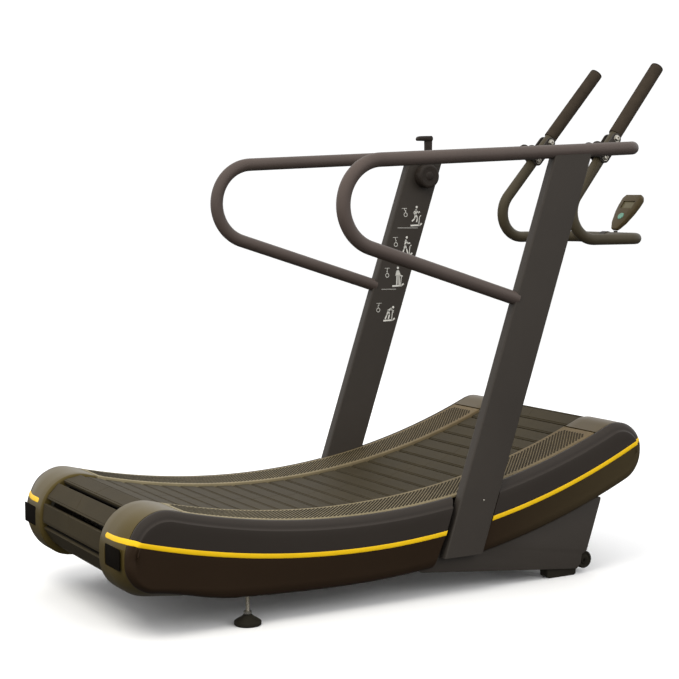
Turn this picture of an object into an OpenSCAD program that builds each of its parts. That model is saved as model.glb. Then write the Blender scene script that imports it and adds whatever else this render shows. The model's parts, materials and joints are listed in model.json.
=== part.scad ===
// Curved manual treadmill: a slatted belt on a concave deck, two leaning uprights that carry
// looped handrails, and a forward handlebar with a small console.
// X points forward, Y to the runner's left and Z up. The origin is on the floor below the middle.

/* [Deck] */
// Radius of the concave running surface
deck_r = 2120; // [2090:10:2150]
// Forward position of the lowest point of the running surface
deck_low_x = -295; // [-300:1:-290]
// Height of the lowest point of the running surface
deck_low_z = 249.5; // [248:0.5:252]
// Width of the slats
slat_w = 424; // [416:2:426]
// Spacing of the slats, rounded so that a whole number fits
slat_pitch_goal = 58; // [54:1:64]
// Thickness of a slat's rubber pad
pad_t = 8; // [6:1:9]
// Thickness of a slat's metal carrier
carrier_t = 6; // [5:1:7]
// Gap between two pads
slat_gap = 6; // [4:1:8]

/* [Drums] */
// Forward position of the rear axle
rear_x = -858; // [-862:1:-854]
// Radius over the slats at the rear axle
rear_r = 104; // [102:1:106]
// Forward position of the front axle
front_x = 588; // [584:1:590]
// Radius over the slats at the front axle
front_r = 84; // [82:1:86]
// Radius of the curve that the belt returns along
return_r = 3000; // [2900:50:3200]

/* [Side covers] */
// Half the width over the side covers
cover_y = 390; // [386:1:392]
// Half the width of the slot that the belt runs in
slot_y = 216; // [215:0.5:218]
// Height of the covers' lowest point
belly_z = 70; // [68:1:74]
// Forward position of the covers' lowest point
belly_x = -320; // [-330:5:-300]
// Radius of the covers' lower rear corner
heel_r = 92; // [88:1:96]
// Height of the centre of that corner
heel_z = 192; // [188:1:196]
// Wall thickness of the covers
wall = 4; // [3:0.5:5]
// Height that the covers stand over the belt
lip = 6; // [5:0.5:7]
// Height of the coloured stripe
stripe_h = 13; // [10:1:16]

/* [Uprights] */
// Lean of the uprights from vertical
lean = 18.3; // [17:0.1:19]
// Size of an upright along the machine
upright_w = 127; // [120:1:130]
// Thickness of an upright
upright_t = 32; // [30:1:34]
// Forward position of the upright's rear edge at handrail height
upright_x = 327; // [324:1:330]

/* [Handrails] */
// Radius of the handrail tube
rail_r = 19; // [18:0.5:20]
// Height of the handrail's centre line at the front cross tube
rail_z = 1239; // [1230:1:1245]
// Forward position of the front cross tube
rail_x = 652; // [648:1:654]
// Upward slope of the upper rail
rail_slope = 2.9; // [2.5:0.1:3.2]
// Downward slope of the lower rail
low_slope = 17.4; // [17:0.1:18]
// Radius of the bend at the rear of the handrail
loop_r = 118; // [114:1:120]
// Forward position of the centre of that bend
loop_x = -228; // [-232:1:-224]

/* [Handlebar] */
// Radius of the handlebar tube
bar_r = 17; // [16:0.5:17.5]
// Radius of a grip
grip_r = 20.5; // [19.5:0.5:22]
// Rise of the arms from horizontal
arm_rise = 50.2; // [49:0.1:51]
// Inward lean of the arms
arm_lean = 3.8; // [3:0.1:4.5]
// Height of the lower bar
bar_z = 969; // [965:1:975]
// Half the distance between the lower bars
bar_y = 180; // [176:1:184]
// Radius of the bend between the lower bar and the arm
bar_bend = 80; // [78:1:82]
// Forward position of the lower cross bar
bar_x = 840; // [836:1:844]
// Length of an arm from the bend to its end
arm_l = 517; // [510:1:520]
// Length of a grip
grip_l = 276; // [275:1:286]

/* [Console] */
// Tilt of the console face from horizontal
console_tilt = 53; // [52:1:56]
// Length of the console face
console_l = 137; // [134:1:138]
// Width of the console face
console_w = 88; // [84:1:92]
// Thickness of the console at its top
console_t = 24; // [22:1:25]

/* [Hidden] */
$fn = 48;

// Deck, drum and return curves, as circles in the side view that touch one another.
slat_t = pad_t + carrier_t;
deck_c = [deck_low_x, deck_low_z + deck_r];
function under_deck(x, r) = [x, deck_c[1] - sqrt(pow(deck_r + r, 2) - pow(x - deck_c[0], 2))];
rear_c = under_deck(rear_x, rear_r);
front_c = under_deck(front_x, front_r);
nose_r = front_r + lip;
cap_r = rear_r + lip;
heel_c = [rear_c[0] - cap_r + heel_r, heel_z];
function heading(a, b) = atan2(b[1] - a[1], b[0] - a[0]);
function polar(c, r, a) = c + r * [cos(a), sin(a)];
function arc(c, r, a0, a1, n) = [for (i = [0:n]) polar(c, r, a0 + (a1 - a0) * i / n)];
function arc_band(c, r0, r1, a0, a1, n) = concat(arc(c, r0, a0, a1, n), arc(c, r1, a1, a0, n));
// The centre of the return curve lies above both drums, which it wraps from below.
axle_gap = norm(front_c - rear_c);
ra = return_r - rear_r;
rb = return_r - front_r;
foot_of_height = (ra * ra - rb * rb + axle_gap * axle_gap) / (2 * axle_gap);
axle_dir = (front_c - rear_c) / axle_gap;
return_c = rear_c + foot_of_height * axle_dir
  + sqrt(ra * ra - foot_of_height * foot_of_height) * [-axle_dir[1], axle_dir[0]];

// Angles at which the belt passes from one curve to the next.
a_rear = heading(deck_c, rear_c);
a_front = heading(deck_c, front_c);
a_nose = a_front + 180;
a_low_front = heading(return_c, front_c);
a_low_rear = heading(return_c, rear_c);
a_tail = a_rear + 180 - 360;

// The belt's loop at a given depth below the running surface.
function belt_loop(d) = concat(
  arc(deck_c, deck_r + d, a_rear, a_front, 48),
  arc(front_c, front_r - d, a_nose, a_low_front, 24),
  arc(return_c, return_r - d, a_low_front, a_low_rear, 40),
  arc(rear_c, rear_r - d, a_low_rear, a_tail, 24));

// Slats stand on the pitch line, at the depth of the slat's underside.
len_top = (deck_r + slat_t) * (a_front - a_rear) * PI / 180;
len_nose = (front_r - slat_t) * (a_nose - a_low_front) * PI / 180;
len_low = (return_r - slat_t) * (a_low_front - a_low_rear) * PI / 180;
len_tail = (rear_r - slat_t) * (a_low_rear - a_tail) * PI / 180;
belt_len = len_top + len_nose + len_low + len_tail;
slat_n = round(belt_len / slat_pitch_goal);
slat_pitch = belt_len / slat_n;

// Side outline of the covers: six arcs that touch, moved inwards by an inset.
function belly_radius(c, r) =
  (pow(c[0] - belly_x, 2) + pow(c[1] - belly_z, 2) - r * r) / (2 * (c[1] - belly_z - r));
belly_rear_r = belly_radius(heel_c, heel_r);
belly_front_r = belly_radius(front_c, nose_r);
belly_rear_c = [belly_x, belly_z + belly_rear_r];
belly_front_c = [belly_x, belly_z + belly_front_r];
a_belly_nose = heading(belly_front_c, front_c);
a_belly_heel = heading(belly_rear_c, heel_c);
function side_outline(inset) = concat(
  arc(deck_c, deck_r - lip + inset, a_rear, a_front, 48),
  arc(front_c, nose_r - inset, a_nose, a_belly_nose, 32),
  arc(belly_front_c, belly_front_r - inset, a_belly_nose, -90, 24),
  arc(belly_rear_c, belly_rear_r - inset, -90, a_belly_heel, 20),
  arc(heel_c, heel_r - inset, a_belly_heel, -180, 16),
  arc(rear_c, cap_r - inset, -180, a_tail, 24));

// Places along the covers.
cap_x = -800;
nose_split_x = 512;
rest_y = 361;
footrest_y = 359.8;
cover_in_y = 361.5;
plate_y = 222;
plate_t = 6;
plate_out_y = plate_y + plate_t;
plate_top = 10;
plate_bottom = 138;
stripe_depth = 1.5;
far = 3000;

// Belt bands, their rollers and the drums they run on.
band_y = [184, 206];
band_t = 7;
roller_n = 17;
roller_r = 17;
stud_r = 6;
axle_r = 12;
axle_half = 275;

// Uprights.
lean_k = tan(lean);
upright_mid_y = 376;
upright_base_z = 112;
bolt_r = 5;
function upright_rear(z) = upright_x + (z - 1199) * lean_k;

// Handrails.
rail_k = tan(rail_slope);
function rail_at(x) = rail_z + (x - rail_x) * rail_k;
corner_r = 60;
// A bend is a hair fuller and longer than the straight tubes, so that they join in clean steps.
hair = 0.05;
loop_z = rail_at(loop_x) - loop_r / cos(rail_slope);

// Handlebar arm, as a line in its own plane.
bar_corner_r = 55;
bar_corner_x = bar_x - bar_corner_r;
arm_dir = [cos(arm_rise), sin(arm_rise)];
bend_c = [645, bar_bend];
arm_start = bend_c + bar_bend * [-sin(arm_rise), cos(arm_rise)];
arm_end = arm_start + arm_l * arm_dir;
grip_cap_t = 4;
clamp_s = 186;
clamp_at = arm_start + clamp_s * arm_dir;
clamp_half_gap = 18;
clamp_plate_t = 4;
clamp_bolt_s = 37;

// Brake at the front axle.
brake_y = 300;
disc_r = 70;
disc_half_t = 3;
pin_r = 5;
yoke_pivot = front_c + [-112, 8];

// Feet and wheels.
wheel_c = [493, 38];
wheel_r = 26;
leg_y = 354;
leg_t = 6;
bracket_y = 312;
bracket_t = 6;
wheel_pin_r = 5;
foot_x = -613;
foot_y = 345;
foot_nut_z = 82;
foot_nut_h = 24;
foot_nut_r = 14;
foot_stem_r = 6;
// Radial running clearance of every turning or sliding fit.
fit = 0.05;

// Selector on the left upright.
selector_c = [383, 1163];
hub_y = 360;
hub_t = 12;
hub_gap = 0.3;
hub_pin_r = 8;

// Console, as the bottom of its face, and its button's place on the face.
console_at = [bar_x + 32, bar_z + 27];
console_foot_t = 16;
button_at = [0, 50];
button_r = 12;
window_w = 54;
window_h = 28;
window_y = 82;
window_depth = 2;

module along_y(y0, y1) {
  translate([0, y1, 0]) rotate([90, 0, 0]) linear_extrude(y1 - y0) children();
}

module sided(side) {
  if (side > 0) children();
  else mirror([0, 1, 0]) children();
}

// A round bar along Y at a place in the side view.
module axle(c, y0, y1, r) {
  translate([c[0], y1, c[1]]) rotate([90, 0, 0]) cylinder(h = y1 - y0, r = r);
}

// A ring along Y.
module ring(c, y0, y1, r_out, r_in) {
  along_y(y0, y1) translate(c) difference() {
    circle(r = r_out);
    circle(r = r_in);
  }
}

// A round bar between two points in the side view, at one Y.
module bar(a, b, y, r) {
  translate([a[0], y, a[1]]) rotate([0, 90 - heading(a, b), 0]) cylinder(h = norm(b - a), r = r);
}

// A bend in the side view, from angle a0 through a sweep.
module bend(c, y, bend_r, r, a0, sweep) {
  translate([c[0], y, c[1]]) rotate([90, 0, 0]) rotate([0, 0, a0])
    rotate_extrude(angle = sweep) translate([bend_r, 0]) circle(r = r);
}

// ---- Frame ----

module side_plate(side) {
  axle_hole_r = 13;
  color("dimgray") sided(side) difference() {
    union() {
      along_y(plate_y, plate_out_y)
        polygon(arc_band(deck_c, deck_r + plate_top, deck_r + plate_bottom, a_rear - 0.9, a_front + 1, 40));
      // Lug that carries the rear foot's arm.
      along_y(plate_y, plate_out_y) polygon([[foot_x - 30, foot_nut_z], [foot_x + 30, foot_nut_z],
        [foot_x + 44, 170], [foot_x - 44, 170]]);
    }
    for (c = [rear_c, front_c]) axle(c, plate_y - 1, plate_out_y + 1, axle_hole_r);
  }
}

module box_tube(w, h) {
  wall_t = 3;
  difference() {
    square([w, h], center = true);
    square([w - 2 * wall_t, h - 2 * wall_t], center = true);
  }
}

cross_at = [-640, -300, 60, 330];
module cross_members() {
  depth = 78;
  color("dimgray") for (x = cross_at)
    along_y(-plate_y, plate_y) translate(under_deck(x, depth)) box_tube(40, 30);
}

outrigger_at = [-760, -520, -200, 300, 420];
module outriggers() {
  arm_w = 36;
  arm_h = 24;
  color("dimgray") for (side = [-1, 1]) {
    sided(side) for (x = outrigger_at)
      along_y(plate_out_y, rest_y) translate(under_deck(x, 2 + arm_h / 2))
        rotate(90 + heading(deck_c, under_deck(x, 0))) square([arm_w, arm_h], center = true);
    // Arms that tie the legs to the frame.
    for (at = [[10, 200], [110, 200]])
      sided(side) along_y(plate_out_y, leg_y) translate(at) square([30, 30], center = true);
    // Arm that holds the rear foot's nut.
    sided(side) difference() {
      along_y(plate_out_y, rest_y) translate([foot_x, foot_nut_z + foot_nut_h / 2])
        square([50, foot_nut_h], center = true);
      translate([foot_x, foot_y, foot_nut_z - 1]) cylinder(h = foot_nut_h + 2, r = foot_nut_r);
    }
  }
}

module leg_outline() {
  polygon([[-110, 76], [318, 32], [453, 19], [466, 34], [470, 60], [488, 69], [541, 226],
    [430, 202], [170, 150], [140, 232], [-20, 232], [-30, 130]]);
}

module leg(side) {
  color([0.2, 0.19, 0.17]) sided(side) along_y(leg_y, leg_y + leg_t) leg_outline();
}

module leg_cross_tube() {
  tube_c = [400, 60];
  boss_r = 13;
  color("dimgray") {
    along_y(-leg_y, leg_y) translate(tube_c) box_tube(50, 40);
    // Brackets that carry the wheel axles.
    for (side = [-1, 1]) sided(side) along_y(bracket_y, bracket_y + bracket_t) difference() {
      union() {
        polygon([tube_c + [20, -20], wheel_c + [0, -boss_r], wheel_c + [boss_r, 0], wheel_c + [0, boss_r],
          tube_c + [20, 20]]);
        translate(wheel_c) circle(r = boss_r);
      }
      translate(wheel_c) circle(r = wheel_pin_r);
    }
  }
}

module foot_blocks() {
  color([0.12, 0.12, 0.12]) for (side = [-1, 1]) sided(side)
    along_y(leg_y - 36, leg_y) polygon([[346, 40], [350, 6], [358, 0], [448, 0], [454, 6], [454, 40]]);
}

module wheel_axles() {
  color("silver") for (side = [-1, 1]) sided(side) {
    axle(wheel_c, bracket_y, bracket_y + 38, wheel_pin_r);
    axle(wheel_c, bracket_y - 6, bracket_y, wheel_pin_r + 4);
  }
}

module transport_wheel(side) {
  color([0.1, 0.1, 0.1]) sided(side) ring(wheel_c, bracket_y + 9, bracket_y + 33, wheel_r, wheel_pin_r + fit);
}

module rear_foot_nuts() {
  color("silver") for (side = [-1, 1])
    translate([foot_x, side * foot_y, foot_nut_z]) difference() {
      cylinder(h = foot_nut_h, r = foot_nut_r);
      translate([0, 0, -1]) cylinder(h = foot_nut_h + 2, r = foot_stem_r + fit);
    }
}

module levelling_foot(side) {
  color([0.12, 0.12, 0.12]) translate([foot_x, side * foot_y, 0]) {
    rotate_extrude() polygon([[0, 0], [33, 0], [35.5, 2], [35.5, 11], [30, 15], [12, 27], [0, 27]]);
    translate([0, 0, 27]) cylinder(h = 90, r = foot_stem_r);
    translate([0, 0, 29]) cylinder(h = 8, r = 11, $fn = 6);
  }
}

// ---- Covers ----

module upright_slot() {
  gap_rear = 18;
  gap_front = 1.5;
  z0 = upright_base_z - 4;
  z1 = 700;
  polygon([[upright_rear(z0) - gap_rear, z0], [upright_rear(z0) + upright_w + gap_front, z0],
    [upright_rear(z1) + upright_w + gap_front, z1], [upright_rear(z1) - gap_rear, z1]]);
}

module between_x(x0, x1) {
  translate([x0, -far]) square([x1 - x0, 2 * far]);
}

module stripe_outline(extra) {
  low = [-287, 167.5];
  r_rear = 2450;
  r_front = 2170;
  h = stripe_h / 2 + extra;
  polygon(concat(
    arc([low[0], low[1] + r_rear], r_rear - h, -90 - 16, -90, 24),
    arc([low[0], low[1] + r_front], r_front - h, -90, -90 + 25.6, 36),
    arc([low[0], low[1] + r_front], r_front + h, -90 + 25.6, -90, 36),
    arc([low[0], low[1] + r_rear], r_rear + h, -90, -90 - 16, 24)));
}

module cover(side) {
  color([0.18, 0.17, 0.15]) sided(side) difference() {
    along_y(cover_in_y, cover_y) polygon(side_outline(0));
    along_y(cover_in_y - 1, cover_y - wall) polygon(side_outline(wall));
    along_y(cover_in_y - 1, cover_y + 1) upright_slot();
    along_y(cover_y - stripe_depth, cover_y + 1) stripe_outline(0.3);
  }
}

module end_region(x0, x1, inset) {
  intersection() {
    polygon(side_outline(inset));
    between_x(x0, x1);
  }
}

// Flat on the rear cap that a rubber pad is let into: its Y and Z limits and its depth.
pad_y = [258, 352];
pad_z = [183, 238];
pad_depth = 4;
tail_x = rear_c[0] - cap_r;

// The stripe's band on the rear caps, as angles about the rear axle.
band_a = [154, 161];
module tail_band(d0, d1, spare) {
  polygon(arc_band(rear_c, cap_r - d0, cap_r + d1, band_a[0] - spare, band_a[1] + spare, 6));
}

module pad_box(spare, x0, x1) {
  translate([tail_x + x0, pad_y[0] + spare, pad_z[0] + spare])
    cube([x1 - x0, pad_y[1] - pad_y[0] - 2 * spare, pad_z[1] - pad_z[0] - 2 * spare]);
}

module rear_cap(side) {
  color([0.3, 0.28, 0.2]) sided(side) difference() {
    union() {
      difference() {
        along_y(slot_y, rest_y) end_region(-far, cap_x - 0.2, 0);
        along_y(slot_y + wall, rest_y + 1) end_region(-far, cap_x + 5, wall);
      }
      // Thickening behind the pad's pocket.
      translate([tail_x + wall - 1, pad_y[0] - 4, pad_z[0] - 4])
        cube([pad_depth + 2 - wall + 1, pad_y[1] - pad_y[0] + 8, pad_z[1] - pad_z[0] + 8]);
    }
    axle(rear_c, slot_y - 1, slot_y + wall + 1, 26);
    pad_box(0, -2, pad_depth);
    along_y(248, rest_y + 1) tail_band(stripe_depth, 5, 0.2);
  }
}

module rear_bumpers() {
  color([0.05, 0.05, 0.05]) for (side = [-1, 1]) sided(side) pad_box(0.2, 1.5, pad_depth);
}

module nose_cap(side) {
  color([0.2, 0.19, 0.16]) sided(side) difference() {
    along_y(slot_y, rest_y) end_region(nose_split_x + 0.2, far, 0);
    along_y(slot_y + wall, rest_y + 1) end_region(nose_split_x - 5, far, wall);
    axle(front_c, slot_y - 1, slot_y + wall + 1, 26);
  }
}

module footrest(side) {
  sheet_t = 6;
  hem = 18;
  hem_t = 4;
  a0 = heading(deck_c, under_deck(cap_x - 8, 0));
  a1 = heading(deck_c, under_deck(nose_split_x + 12, 0));
  color([0.33, 0.31, 0.25]) sided(side) {
    along_y(slot_y + hem_t, footrest_y) intersection() {
      polygon(arc_band(deck_c, deck_r - lip, deck_r - lip + sheet_t, a0, a1, 48));
      between_x(cap_x + 0.2, nose_split_x - 0.2);
    }
    along_y(slot_y, slot_y + hem_t) intersection() {
      polygon(arc_band(deck_c, deck_r - lip, deck_r + hem, a0, a1, 48));
      between_x(cap_x + 0.2, nose_split_x - 0.2);
    }
  }
}

module stripes(side) {
  proud = 0.3;
  color([0.96, 0.8, 0.16]) sided(side) {
    along_y(cover_y - stripe_depth + proud, cover_y + proud) difference() {
      intersection() {
        stripe_outline(0);
        polygon(side_outline(1));
      }
      upright_slot();
    }
    along_y(249, rest_y) tail_band(stripe_depth - proud, proud, 0);
  }
}

// ---- Belt ----

// Place of a slat at a distance along the pitch line: X, Z and heading.
function slat_place(s) =
  s < len_top
  ? let (a = a_rear + s / len_top * (a_front - a_rear))
    concat(polar(deck_c, deck_r + slat_t, a), a + 90)
  : s < len_top + len_nose
  ? let (a = a_nose + (s - len_top) / len_nose * (a_low_front - a_nose))
    concat(polar(front_c, front_r - slat_t, a), a - 90)
  : s < len_top + len_nose + len_low
  ? let (a = a_low_front + (s - len_top - len_nose) / len_low * (a_low_rear - a_low_front))
    concat(polar(return_c, return_r - slat_t, a), a - 90)
  : let (a = a_low_rear + (s - len_top - len_nose - len_low) / len_tail * (a_tail - a_low_rear))
    concat(polar(rear_c, rear_r - slat_t, a), a - 90);

module each_slat() {
  for (i = [0:slat_n - 1]) {
    p = slat_place((i + 0.35) * slat_pitch);
    translate([p[0], p[1]]) rotate(p[2]) children();
  }
}

module slat_pads() {
  h = (slat_pitch - slat_gap) / 2;
  color([0.28, 0.27, 0.21]) along_y(-slat_w / 2, slat_w / 2) each_slat()
    polygon([[-h, carrier_t], [h, carrier_t], [h, slat_t - 1.5], [h - 1.5, slat_t],
      [1.5 - h, slat_t], [-h, slat_t - 1.5]]);
}

module slat_carriers() {
  h = (slat_pitch - slat_gap) / 2 - 1.5;
  rib_d = 12;
  color("silver") {
    along_y(-slat_w / 2, slat_w / 2) each_slat()
      polygon([[-h, 0.3], [h, 0.3], [h, carrier_t], [-h, carrier_t]]);
    along_y(-172, 172) each_slat()
      polygon([[-3, -rib_d], [3, -rib_d], [3, 0.3], [-3, 0.3]]);
  }
}

module belt_bands() {
  color([0.1, 0.1, 0.1]) for (side = [-1, 1]) sided(side) along_y(band_y[0], band_y[1]) difference() {
    polygon(belt_loop(slat_t));
    polygon(belt_loop(slat_t + band_t));
  }
}

function roller_place(i) =
  polar(deck_c, deck_r + slat_t + band_t + roller_r + 0.2, a_rear + 2.2
    + (a_front - a_rear - 4.4) * i / (roller_n - 1));

module guide_rollers() {
  color([0.75, 0.75, 0.77]) for (side = [-1, 1]) sided(side) for (i = [0:roller_n - 1])
    ring(roller_place(i), band_y[0] + 4, band_y[1] - 4, roller_r, stud_r);
}

module roller_studs() {
  color("silver") for (side = [-1, 1]) sided(side) for (i = [0:roller_n - 1])
    axle(roller_place(i), band_y[0], plate_y, stud_r);
}

// ---- Drums and brake ----

module front_axle() {
  color("silver") axle(front_c, -axle_half, brake_y + 30, axle_r);
}

module rear_axle() {
  color("silver") axle(rear_c, -axle_half, axle_half, axle_r);
}

module pulleys(c, r) {
  color([0.25, 0.25, 0.26]) for (side = [-1, 1]) sided(side) {
    ring(c, band_y[0] - 1, band_y[1] + 1, r - slat_t - band_t - 0.6, axle_r);
    ring(c, band_y[0] - 24, band_y[0] - 1, 30, axle_r);
  }
}

module front_pulleys() {
  pulleys(front_c, front_r);
}

module rear_pulleys() {
  pulleys(rear_c, rear_r);
}

module axle_bearings() {
  color([0.3, 0.3, 0.32]) for (c = [rear_c, front_c], side = [-1, 1]) sided(side) {
    ring(c, plate_out_y, plate_out_y + 8, 34, axle_r + fit);
    ring(c, plate_out_y + 8, plate_out_y + 22, 22, axle_r + fit);
  }
}

module brake_disc() {
  color([0.8, 0.8, 0.82]) {
    ring(front_c, brake_y - disc_half_t, brake_y + disc_half_t, disc_r, axle_r);
    ring(front_c, brake_y - 14, brake_y - disc_half_t, 24, axle_r);
  }
}

module brake_yoke() {
  jaw_t = 10;
  half_gap = 5;
  color([0.35, 0.35, 0.36]) difference() {
    union() {
      for (y = [brake_y - half_gap - jaw_t, brake_y + half_gap])
        along_y(y, y + jaw_t) polygon([yoke_pivot + [-12, -12], yoke_pivot + [12, -12],
          yoke_pivot + [58, -34], yoke_pivot + [64, 2], yoke_pivot + [8, 14], yoke_pivot + [-12, 12]]);
      along_y(brake_y - half_gap, brake_y + half_gap) translate(yoke_pivot) square([20, 20], center = true);
    }
    axle(yoke_pivot, brake_y - 20, brake_y + 20, pin_r + fit);
  }
}

module yoke_pin() {
  color("silver") axle(yoke_pivot, plate_out_y, brake_y + 22, pin_r);
}

// ---- Uprights ----

module upright_outline(inset, z0) {
  z1 = rail_at(upright_x) - 2;
  z2 = rail_at(upright_x + upright_w) - 2;
  polygon([[upright_rear(z0) + inset, z0], [upright_rear(z0) + upright_w - inset, z0],
    [upright_rear(z2) + upright_w - inset, z2], [upright_rear(z1) + inset, z1]]);
}

module upright(side) {
  tube_wall = 3;
  y0 = upright_mid_y - upright_t / 2;
  y1 = upright_mid_y + upright_t / 2;
  color([0.2, 0.19, 0.17]) sided(side) difference() {
    along_y(y0, y1) upright_outline(0, upright_base_z);
    along_y(y0 + tube_wall, y1 - tube_wall) upright_outline(tube_wall, upright_base_z - 1);
    bar([loop_x, rail_at(loop_x)], [rail_x, rail_z], upright_mid_y, rail_r);
    for (p = upright_bolt_at) axle(p, y0 - 1, y0 + 4, bolt_r);
  }
}

upright_bolt_at = [for (z = [150, 205], dx = [32, 95]) [upright_rear(z) + dx, z]];
module upright_bolts() {
  y0 = upright_mid_y - upright_t / 2;
  color("silver") for (side = [-1, 1]) sided(side) for (p = upright_bolt_at) {
    axle(p, leg_y + leg_t, y0 + 3, bolt_r);
    axle(p, y0 + 3, y0 + 9, bolt_r + 3);
  }
}

// ---- Handrails ----

module handrail(side) {
  y = upright_mid_y;
  upper_start = [loop_x, loop_z] + loop_r * [-sin(rail_slope), cos(rail_slope)];
  lower_start = [loop_x, loop_z] + loop_r * [-sin(low_slope), -cos(low_slope)];
  // The lower rail runs a little way into the upright, where it is cut to the upright's face.
  lower_z = 842;
  lower_len = (upright_rear(lower_z) + 6 - lower_start[0]) / cos(low_slope);
  lower_end = lower_start + lower_len * [cos(low_slope), -sin(low_slope)];
  upper_end = [rail_x, rail_z] - corner_r * [cos(rail_slope), sin(rail_slope)];
  color([0.24, 0.22, 0.19]) sided(side) difference() {
    union() {
      bar(upper_start, upper_end, y, rail_r - hair);
      bend([loop_x, loop_z], y, loop_r, rail_r, 90 + rail_slope - hair,
        180 - rail_slope - low_slope + 2 * hair);
      bar(lower_start, lower_end, y, rail_r - hair);
      translate([upper_end[0], y - corner_r, upper_end[1]]) rotate([0, -rail_slope, 0])
        rotate([0, 0, -hair]) rotate_extrude(angle = 90 + 2 * hair)
          translate([corner_r, 0]) circle(r = rail_r);
    }
    along_y(y - 40, y + 40) polygon([[upright_rear(700), 700], [upright_rear(700) + 200, 700],
      [upright_rear(1000) + 200, 1000], [upright_rear(1000), 1000]]);
  }
}

module handrail_cross_tube() {
  half_l = upright_mid_y - corner_r - 0.1;
  color([0.24, 0.22, 0.19]) axle([rail_x, rail_z], -half_l, half_l, rail_r);
}

// ---- Handlebar ----

// Places a child drawn in an arm's plane on one side of the handlebar.
module on_arm(side) {
  sided(side) translate([0, bar_y, bar_z]) rotate([arm_lean, 0, 0]) children();
}

module handlebar_arm(side) {
  color([0.22, 0.2, 0.17]) on_arm(side) difference() {
    union() {
      bar(arm_start, arm_end - grip_cap_t * arm_dir, 0, bar_r - hair);
      bend(bend_c, 0, bar_bend, bar_r, 90 + arm_rise - hair, 180 - arm_rise + 2 * hair);
      bar([bend_c[0], 0], [bar_corner_x, 0], 0, bar_r - hair);
    }
    clamp_bolt_holes(bolt_r + fit);
  }
}

module handlebar_cross_bar() {
  color([0.22, 0.2, 0.17]) {
    for (side = [-1, 1]) sided(side) translate([bar_corner_x, bar_y - bar_corner_r, bar_z])
      rotate_extrude(angle = 90) translate([bar_corner_r, 0]) circle(r = bar_r);
    axle([bar_x, bar_z], bar_corner_r - bar_y, bar_y - bar_corner_r, bar_r);
  }
}

module clamp_bolt_holes(r) {
  for (s = [-clamp_bolt_s, clamp_bolt_s])
    axle(clamp_at + s * arm_dir, -clamp_half_gap - 14, clamp_half_gap + 14, r);
}

// Two plates beside each arm, with a lobe around the handrail's cross tube.
module handlebar_clamps() {
  plate_r = 17;
  tube_at = [rail_x, (rail_z - bar_z) / cos(arm_lean)];
  color([0.16, 0.15, 0.13]) difference() {
    for (side = [-1, 1]) on_arm(side) for (y = [-clamp_half_gap - clamp_plate_t, clamp_half_gap])
      along_y(y, y + clamp_plate_t) {
        translate(clamp_at) rotate(arm_rise) {
          translate([-clamp_bolt_s, -plate_r]) square([2 * clamp_bolt_s, 2 * plate_r]);
          for (s = [-clamp_bolt_s, clamp_bolt_s]) translate([s, 0]) circle(r = plate_r);
          translate([-clamp_bolt_s - 12, 0]) square([28, 40]);
        }
        translate(tube_at) circle(r = rail_r + 5);
      }
    axle([rail_x, rail_z], -400, 400, rail_r);
    for (side = [-1, 1]) on_arm(side) clamp_bolt_holes(bolt_r + fit);
  }
}

module clamp_bolts() {
  color("silver") for (side = [-1, 1]) on_arm(side) for (s = [-clamp_bolt_s, clamp_bolt_s]) {
    p = clamp_at + s * arm_dir;
    seat = clamp_half_gap + clamp_plate_t;
    head_h = 6;
    axle(p, -seat - head_h, seat + head_h, bolt_r);
    axle(p, seat, seat + head_h, bolt_r + 4);
    axle(p, -seat - head_h, -seat, bolt_r + 4);
  }
}

module grip(side) {
  color([0.2, 0.18, 0.15]) on_arm(side) difference() {
    bar(arm_end - grip_l * arm_dir, arm_end - grip_cap_t * arm_dir, 0, grip_r);
    bar(arm_end - (grip_l + 1) * arm_dir, arm_end, 0, bar_r);
  }
}

module grip_end_caps() {
  color([0.15, 0.14, 0.12]) for (side = [-1, 1]) on_arm(side)
    bar(arm_end - grip_cap_t * arm_dir, arm_end, 0, grip_r);
}

// ---- Console ----

// Places a child drawn flat in the console face's own plane: X across, Y up the face.
module on_console() {
  translate([console_at[0], 0, console_at[1]]) rotate([0, 0, -90]) rotate([console_tilt, 0, 0]) children();
}

// The case's solid: its face outline, cut to a side profile that is thinner at the bottom.
module console_body() {
  half = console_w / 2;
  edge = 4;
  intersection() {
    translate([0, 0, -console_t]) linear_extrude(console_t)
      polygon([[-12, 0], [12, 0], [28, 26], [half - 3, 70], [half, 98], [half, 124], [half - 9, console_l],
        [9 - half, console_l], [-half, 124], [-half, 98], [3 - half, 70], [-28, 26]]);
    rotate([90, 0, -90]) linear_extrude(console_w + 2, center = true)
      polygon([[1, 1], [1, -console_foot_t], [edge - console_l, -console_t],
        [-console_l - 1, edge - console_t], [-console_l - 1, 1]]);
  }
}

module console_case() {
  color([0.22, 0.2, 0.16]) on_console() difference() {
    console_body();
    translate([-window_w / 2, window_y, -window_depth]) cube([window_w, window_h, 4]);
    translate([button_at[0], button_at[1], -6]) cylinder(h = 8, r = button_r + 0.4);
  }
}

module console_screen() {
  spare = 0.2;
  color([0.12, 0.12, 0.1]) on_console() translate([spare - window_w / 2, window_y + spare, -window_depth])
    cube([window_w - 2 * spare, window_h - 2 * spare, window_depth - 0.4]);
}

module console_button() {
  color([0.4, 0.6, 0.53]) on_console()
    translate([button_at[0], button_at[1], -4.5]) cylinder(h = 6.5, r = button_r);
}

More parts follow.
